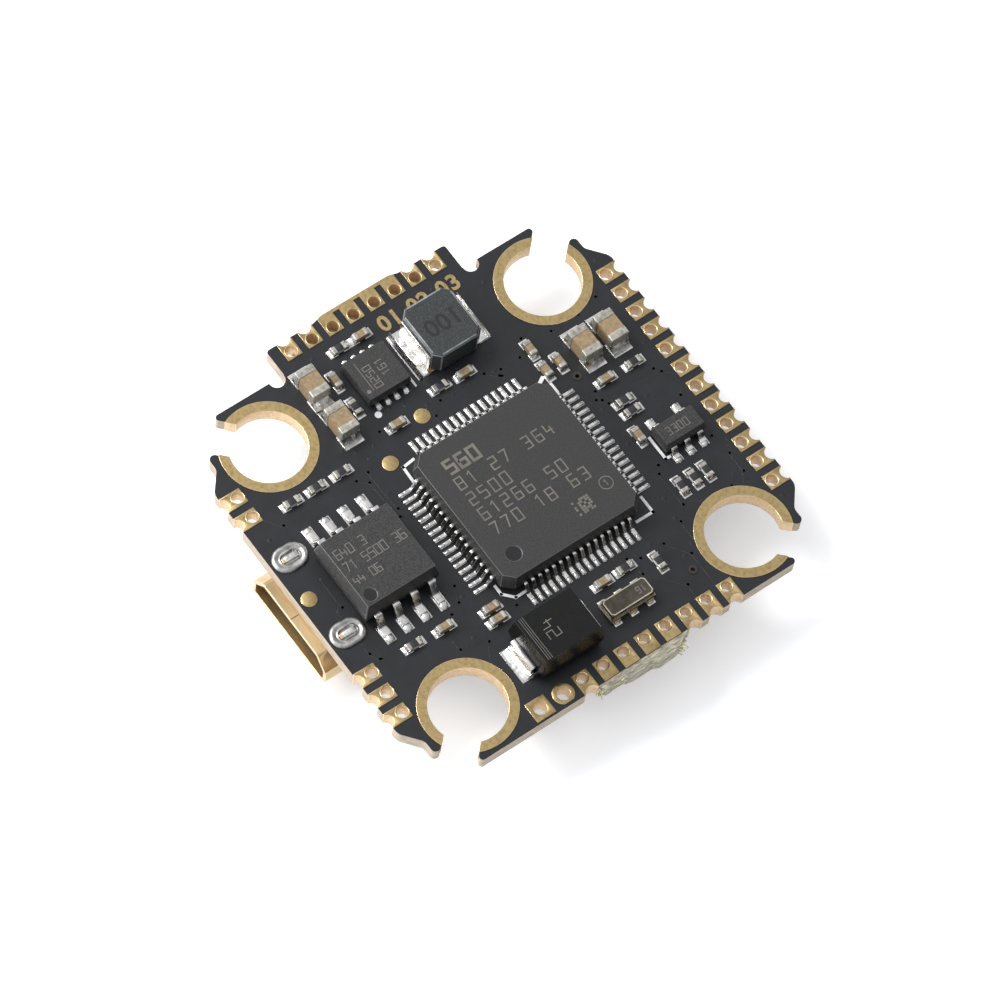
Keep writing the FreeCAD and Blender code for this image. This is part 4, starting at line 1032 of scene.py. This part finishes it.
def make_power_solder():
    """The large joints of the inductor, the surge diode and the resonator."""
    rand = dice(3)
    shape = bmesh.new()
    lands = bmesh.new()
    for node, near, far, climb, grow in (("inductor_terminals", 0.16, 0.04, 0.30, 0.02),
                                         ("surge_diode_leads", 0.52, 0.05, 0.38, 0.1)):
        both = solids(node)
        centre = sum((middle(b) for b in both), Vector()) / len(both)
        for low, high in both:
            outward = Vector((0, math.copysign(1, middle((low, high)).y - centre.y), 0))
            reach = near if outward.y < 0 else far
            add_fillet(shape, (low, high), outward, reach * MM, rand, climb)
            edge = high.y if outward.y > 0 else low.y
            ends = sorted((edge - outward.y * 0.7 * MM, edge + outward.y * (reach + 0.06) * MM))
            add_box(lands, (low.x - grow * MM, ends[0], -LAND_SUNK), (high.x + grow * MM, ends[1], 0.04 * MM),
                    0.0, 0.01 * MM)
    base = middle(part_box("resonator_base"))
    for low, high in solids("resonator_terminals"):
        here = middle((low, high))
        centre = Vector((high.x if here.x > base.x else low.x, here.y, 0.03 * MM))
        add_box(lands, centre - Vector((0.16, 0.26, 0.04)) * MM, centre + Vector((0.16, 0.26, 0.0)) * MM,
                0.0, 0.01 * MM)
        add_blob(shape, centre, Vector((0.2, 0.4, 0.2)) * MM, rand, 0.06, 8)
    publish(shape, "power_solder", "solder", smooth=60)
    publish(lands, "power_lands", "tin")
    flux = bmesh.new()
    low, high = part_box("inductor_terminals")
    corner = Vector((high.x - 0.35 * MM, low.y + 1.1 * MM, 0.25 * MM))
    add_blob(flux, corner, Vector((0.75, 0.42, 0.5)) * MM, rand, 0.12, 12)
    add_blob(flux, corner + Vector((0.2, -0.45, -0.15)) * MM, Vector((0.4, 0.3, 0.25)) * MM, rand, 0.12, 10)
    publish(flux, "flux_residue", "flux", smooth=80)


def add_oval_loop(shape, centre, half_x, half_y, z, count=40):
    """A loop of an oval with straight sides: its ends are half circles."""
    straight = half_y - half_x
    loop = []
    for i in range(count):
        angle = math.tau * (i + 0.5) / count
        shift = straight if math.sin(angle) > 0 else -straight
        loop.append(shape.verts.new((centre.x + half_x * math.cos(angle),
                                     centre.y + shift + half_x * math.sin(angle), z)))
    return loop


def make_anchor_solder():
    """The two solder joints of the socket's anchor tabs: a collar, a slot and the tab's end."""
    rand = dice(4)
    shape = bmesh.new()
    tabs = bmesh.new()
    collar = [(1.0, 0.0), (0.99, 0.07), (0.93, 0.15), (0.80, 0.19), (0.66, 0.17), (0.54, 0.10),
              (0.47, 0.12), (0.42, 0.15), (0.37, 0.10), (0.33, 0.0), (0.30, -0.12)]
    for low, high in solids("usb_anchor_solder"):
        centre = middle((low, high))
        half_x = (high.x - low.x) / 2
        half_y = (high.y - low.y) / 2
        loops = []
        for share, z in collar:
            loop = add_oval_loop(shape, centre, half_x * share, half_y - half_x * (1 - share), z * MM)
            for vert in loop:
                vert.co += drawn(rand, (-1, 1), (-1, 1), (-1, 1)) * 0.006 * MM
            edges = [shape.edges.new((a, b)) for a, b in zip(loop, loop[1:] + loop[:1])]
            if loops:
                bmesh.ops.bridge_loops(shape, edges=loops[-1] + edges)
            loops.append(edges)
        for edges in (loops[0], loops[-1]):
            bmesh.ops.contextual_create(shape, geom=edges)
        add_box(tabs, (centre.x - 0.18 * MM, centre.y - 0.36 * MM, -0.5 * MM),
                (centre.x + 0.18 * MM, centre.y + 0.56 * MM, 0.145 * MM), 0.0, 0.06 * MM)
    bmesh.ops.recalc_face_normals(shape, faces=shape.faces)
    publish(shape, "anchor_solder", "oval_solder", "board", ("usb_anchor_solder",), 60)
    publish(tabs, "anchor_tab_ends", "tin")


class BOARD_OT_solder(bpy.types.Operator):
    """Solder every joint, with lands, fillets and beads"""
    bl_idname = "board.make_solder"
    bl_label = "Solder"

    def execute(self, context):
        make_chip_fillets()
        make_lead_solder()
        make_power_solder()
        make_anchor_solder()
        return {"FINISHED"}


# Sockets and switch

def make_port_seam():
    """The joint of the folded shell, open at the mouth, above and below."""
    shape = bmesh.new()
    low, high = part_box("usb_shell")
    board_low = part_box("circuit_board")[0].z
    x = middle((low, high)).x
    for z in (board_low, low.z):
        mouth = Vector((x, low.y, z))
        add_box(shape, mouth - Vector((0.02, 0.004, 0.006)) * MM, mouth + Vector((0.02, 0.62, 0.006)) * MM)
    publish(shape, "port_seam", "hole")


class BOARD_OT_sockets(bpy.types.Operator):
    """Finish the two sockets under the board"""
    bl_idname = "board.make_sockets"
    bl_label = "Sockets"

    def execute(self, context):
        # The paler gold on the shell's eased edges is a painted highlight.
        eased("usb_shell", "shell", 0.06, 3, rim="painted_highlight_gold")
        make_port_seam()
        eased("usb_tongue", "polymer", 0.03)
        eased("usb_contacts", "gold", 0.02)
        eased("controller_socket_housing", "nylon", 0.05, 3)
        eased("controller_socket_pins", "tin", 0.03)
        eased("controller_socket_clips", "tin", 0.03)
        return {"FINISHED"}


class BOARD_OT_switch(bpy.types.Operator):
    """Finish the boot switch"""
    bl_idname = "board.make_switch"
    bl_label = "Boot switch"

    def execute(self, context):
        eased("boot_switch_base", "polymer", 0.03)
        eased("boot_switch_cover", "tin", 0.02)
        eased("boot_switch_button", "button", 0.015)
        dome = eased("boot_switch_dome", "tin", 0.01)
        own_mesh(dome)
        eased("boot_switch_feet", "tin", 0.02)
        return {"FINISHED"}


# Print

def make_silk():
    """White printed marks on both faces of the board."""
    shape = bmesh.new()
    width = prints().ink_width
    lines = [
        [(4.85, 6.3), (5.98, 6.3), (5.98, 5.15)],
        [(-4.62, -3.4), (-4.52, -4.2), (-3.4, -4.25)],
        [(4.75, -4.25), (5.35, -4.25), (5.98, -3.65), (5.98, -2.95)],
        [(-3.55, 6.3), (-4.65, 6.3)],
        [(2.0, 9.02), (3.62, 9.02), (3.62, 9.7)],
    ]
    for line in lines:
        add_strokes(shape, line, width, *INK)
    add_strokes(shape, [(-4.75, 6.1), (-4.55, 5.75)], width * 1.3, *INK)
    low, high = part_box("converter_body")
    beside = high.y + 0.16 * MM
    add_stroke(shape, (low.x + 0.1 * MM, beside), (high.x + 0.25 * MM, beside), 0.14 * MM, *INK)
    add_disc(shape, -8.15 * MM, -3.4 * MM, 0.22 * MM, *INK)
    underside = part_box("circuit_board")[0].z
    under = (underside - INK[1], underside - INK[0])
    low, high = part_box("display_chip_body")
    add_disc(shape, low.x - 0.35 * MM, low.y - 0.35 * MM, 0.2 * MM, *under)
    for node, reach in (("gyro_chip", 0.32), ("display_crystal_base", 0.3), ("boot_switch_base", 0.62)):
        low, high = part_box(node)
        for sx, x in ((-1, low.x), (1, high.x)):
            for sy, y in ((-1, low.y), (1, high.y)):
                corner = Vector((x + sx * reach * MM, y + sy * reach * MM))
                for back in (Vector((sx, 0)), Vector((0, sy))):
                    add_stroke(shape, corner, corner - back * 0.6 * MM, 0.13 * MM, *under)
    publish(shape, "printed_marks", "ink")


def make_board_digits():
    """Gold digits beside the wide tab."""
    shape = typed("01 02 03", prints().board_digits, 0.03 * MM, 0.042 * MM, 1.12)
    lay_typed(shape, -12.42 * MM, 0.05 * MM, 0.002 * MM, QUARTER)
    publish(shape, "gold_board_digits", "gold")


def chip_face(node, out=MARK_HIGH):
    """A package's corners and middle, and the lower and upper side of the digits on its top."""
    low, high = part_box(node)
    return low, high, middle((low, high)), (high.z - MARK_LOW, high.z + out)


def make_processor_codes(shape):
    """Rows of digits, a number in a ring and a square of dots on the processor."""
    p = prints()
    _, _, centre, top = chip_face("processor_body")
    rows = p.code_text.split("/")
    start_y = centre.y - 3.6 * MM
    add_digits(shape, rows[0], centre.x - 2.72 * MM, start_y + 0.1 * MM, *top, p.code_height * 1.1, QUARTER,
               p.laser_width * 2.1, 0.6, 0.34)
    for text, dx in zip(rows[1:], (-1.55, -0.36, 0.80, 1.95)):
        add_digits(shape, text, centre.x + dx * MM, start_y, *top, p.code_height, QUARTER, p.laser_width)
    ring = Vector((centre.x + 2.75 * MM, centre.y + 3.75 * MM))
    turns = [math.tau * i / 24 for i in range(25)]
    add_ribbon(shape, [ring + Vector((math.cos(a), math.sin(a))) * 0.42 * MM for a in turns], 0.06 * MM, *top)
    add_digits(shape, "1", ring.x + 0.2 * MM, ring.y - 0.12 * MM, *top, 0.4 * MM, QUARTER, 0.06 * MM)
    rand = dice(5)
    cell = 0.17 * MM
    dot = Vector((cell * 0.82, cell * 0.82, top[1] - top[0]))
    for i in range(6):
        for j in range(7):
            if rand.random() < 0.62:
                corner = Vector((centre.x + 2.7 * MM + i * cell, centre.y + 1.2 * MM + j * cell, top[0]))
                add_box(shape, corner, corner + dot)


def make_converter_codes(shape):
    """Two rows of digits, an underline and the first pin's dot on the converter."""
    low, high, _, top = chip_face("converter_body")
    for text, dx, dy in (("0250", 0.5, 1.3), ("161", 0.95, 2.15)):
        add_digits(shape, text, high.x - dx * MM, low.y + dy * MM, *top, 0.5 * MM, math.pi, 0.055 * MM,
                   0.55, 0.3)
    line_y = low.y + 0.6 * MM
    add_stroke(shape, (low.x + 0.45 * MM, line_y), (high.x - 0.5 * MM, line_y), 0.05 * MM, *top)
    add_disc(shape, high.x - 0.55 * MM, low.y + 0.3 * MM, 0.13 * MM, *top, 16)


def make_diode_codes(shape):
    """Two digits and the three lines that mark the diode's cathode."""
    low, high, centre, top = chip_face("surge_diode_body")
    add_digits(shape, "24", centre.x + 0.55 * MM, centre.y - 0.1 * MM, *top, 0.8 * MM, math.pi, 0.06 * MM,
               0.6, 0.3)
    for i in range(3):
        y = low.y + (0.42 + 0.14 * i) * MM
        add_stroke(shape, (low.x + 0.25 * MM, y), (high.x - 0.25 * MM, y), 0.035 * MM, *top)


def make_chip_codes():
    """Generic digits where the packages are marked."""
    shape = bmesh.new()
    make_processor_codes(shape)
    _, _, centre, top = chip_face("flash_body")
    for text, dx, height in (("640 3", -0.95, 0.62), ("71 5500 36", 0.0, 0.62), ("44 06", 0.95, 0.55)):
        add_digits(shape, text, centre.x + dx * MM, centre.y - 2.1 * MM, *top, height * MM, QUARTER,
                   0.06 * MM, 0.5, 0.2)
    low, _, centre, top = chip_face("regulator_body")
    add_digits(shape, "3300", centre.x + 0.28 * MM, low.y + 0.55 * MM, *top, 0.52 * MM, QUARTER, 0.05 * MM,
               0.5, 0.3)
    make_converter_codes(shape)
    make_diode_codes(shape)
    _, high, centre, top = chip_face("resonator_lid", 0.003 * MM)
    add_digits(shape, "16", centre.x - 0.2 * MM, high.y - 0.35 * MM, *top, 0.42 * MM, -QUARTER, 0.05 * MM,
               0.5, 0.3)
    publish(shape, "laser_codes", "laser")


def make_inductor_value():
    """The inductor's stamped value, as generic digits."""
    _, _, centre, top = chip_face("inductor_core")
    stamp = typed("100", 1.15 * MM, 0.006 * MM, 0.028 * MM)
    lay_typed(stamp, centre.x - 0.50 * MM, centre.y + 1.30 * MM, top[0], -QUARTER)
    publish(stamp, "inductor_value", "stamp")


def make_dimples():
    """The polished floor of the dimple at the first pin of the two large packages."""
    dots = bmesh.new()
    for node, inset, radius in (("processor_body", 1.55, 0.47), ("flash_body", 0.8, 0.39)):
        low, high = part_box(node)
        floor_z = high.z - 0.05 * MM
        add_disc(dots, high.x - inset * MM, low.y + inset * MM, radius * MM, floor_z - 0.01 * MM,
                 floor_z + 0.004 * MM, 32)
    publish(dots, "polished_dimples", "polished")


class BOARD_OT_print(bpy.types.Operator):
    """Add the printed marks and the generic digits"""
    bl_idname = "board.make_print"
    bl_label = "Print"

    def execute(self, context):
        make_silk()
        make_board_digits()
        make_chip_codes()
        make_inductor_value()
        make_dimples()
        return {"FINISHED"}


# Stage

def make_floor():
    """White paper just below the object, which glows faintly so that it stays pure white."""
    floor = bmesh.new()
    bmesh.ops.create_grid(floor, x_segments=2, y_segments=2, size=1.5,
                          matrix=Matrix.Translation((0, 0, CAD_BOX[0][2] - 0.15 * MM)))
    mesh = bpy.data.meshes.new("floor")
    floor.to_mesh(mesh)
    floor.free()
    look = Look("white_paper", roughness=0.85)
    paper = look.ramp(look.noise(40.0), (0.3, (0.88, 0.88, 0.89)), (0.7, (0.91, 0.91, 0.92)))
    look.feed(look.shader.inputs["Emission Color"], paper)
    look.shader.inputs["Emission Strength"].default_value = 0.42
    look.finish(paper)
    mesh.materials.append(look.material)
    placed("floor", mesh)


def add_light(name, direction, size, power, distance=0.30):
    """A square soft light that points at the origin."""
    data = bpy.data.lights.new(name, "AREA")
    data.shape = "SQUARE"
    data.size = size
    data.energy = power
    place = Vector(direction).normalized() * distance
    turn = (-place).to_track_quat("-Z", "Y")
    placed(name, data).matrix_world = Matrix.Translation(place) @ turn.to_matrix().to_4x4()


def make_camera():
    s = stage_settings()
    back = Vector((math.sin(s.azimuth) * math.cos(s.elevation), -math.cos(s.azimuth) * math.cos(s.elevation),
                   math.sin(s.elevation)))
    level = (-back).cross(UP).normalized()
    rise = level.cross(-back)
    right = level * math.cos(s.roll) + rise * math.sin(s.roll)
    above = rise * math.cos(s.roll) - level * math.sin(s.roll)
    turn = Matrix((right, above, back)).transposed().to_4x4()
    data = bpy.data.cameras.new("camera")
    data.lens = s.lens
    data.sensor_width = 36.0
    data.clip_start = 0.01
    data.clip_end = 20.0
    camera = placed("camera", data)
    camera.matrix_world = Matrix.Translation(Vector(s.target) + back * s.distance) @ turn
    bpy.context.scene.camera = camera


def make_world():
    """A soft room: bright on the light's side, dimmer on the other."""
    world = bpy.data.worlds.new("soft_room")
    world.use_nodes = True
    tree = world.node_tree
    coords = tree.nodes.new("ShaderNodeTexCoord")
    side = tree.nodes.new("ShaderNodeVectorMath")
    side.operation = "DOT_PRODUCT"
    side.inputs[1].default_value = Vector((-0.72, -0.50, 0.48)).normalized()
    level = tree.nodes.new("ShaderNodeMapRange")
    for name, value in (("From Min", -0.7), ("From Max", 1.0), ("To Min", 0.12), ("To Max", 1.12)):
        level.inputs[name].default_value = value
    background = tree.nodes["Background"]
    background.inputs["Color"].default_value = (0.95, 0.97, 1.0, 1)
    tree.links.new(coords.outputs["Generated"], side.inputs[0])
    tree.links.new(side.outputs["Value"], level.inputs["Value"])
    tree.links.new(level.outputs["Result"], background.inputs["Strength"])
    bpy.context.scene.world = world


def make_lights():
    s = stage_settings()
    add_light("key", (-0.80, -0.42, 0.95), 0.12, s.key_power)
    add_light("low_side", (-0.43, -0.82, 0.40), 0.10, s.fill_power)
    make_world()
    bpy.context.scene.view_settings.view_transform = "Standard"


class BOARD_OT_stage(bpy.types.Operator):
    """Set up the floor, the lights and the camera"""
    bl_idname = "board.make_stage"
    bl_label = "Stage"

    def execute(self, context):
        make_floor()
        make_lights()
        make_camera()
        return {"FINISHED"}


OPERATORS = (BOARD_OT_stage, BOARD_OT_board, BOARD_OT_gold, BOARD_OT_chips, BOARD_OT_leads, BOARD_OT_passives,
             BOARD_OT_solder, BOARD_OT_sockets, BOARD_OT_switch, BOARD_OT_print)


class BOARD_PT_panel(bpy.types.Panel):
    """The board's steps and settings"""
    bl_idname = "BOARD_PT_panel"
    bl_label = "Flight controller board"
    bl_space_type = "VIEW_3D"
    bl_region_type = "UI"
    bl_category = "Board"

    def draw(self, context):
        for operator in OPERATORS:
            self.layout.operator(operator.bl_idname)
        for name, kind in GROUPS:
            box = self.layout.box()
            for setting in kind.__annotations__:
                box.prop(getattr(context.scene, name), setting)


GROUPS = (("board_colours", FinishColours), ("board_prints", PrintSizes), ("board_solder", SolderSizes),
          ("board_stage", StageSettings))


def register():
    for name, group in GROUPS:
        bpy.utils.register_class(group)
        setattr(bpy.types.Scene, name, PointerProperty(type=group))
    for operator in OPERATORS:
        bpy.utils.register_class(operator)
    bpy.utils.register_class(BOARD_PT_panel)


def unregister():
    bpy.utils.unregister_class(BOARD_PT_panel)
    for operator in reversed(OPERATORS):
        bpy.utils.unregister_class(operator)
    for name, group in reversed(GROUPS):
        delattr(bpy.types.Scene, name)
        bpy.utils.unregister_class(group)


def main():
    register()
    bpy.ops.board.make_stage()
    bpy.ops.board.make_board()
    bpy.ops.board.make_gold()
    bpy.ops.board.make_chips()
    bpy.ops.board.make_leads()
    bpy.ops.board.make_passives()
    bpy.ops.board.make_solder()
    bpy.ops.board.make_sockets()
    bpy.ops.board.make_switch()
    bpy.ops.board.make_print()


if __name__ == "__main__":
    main()
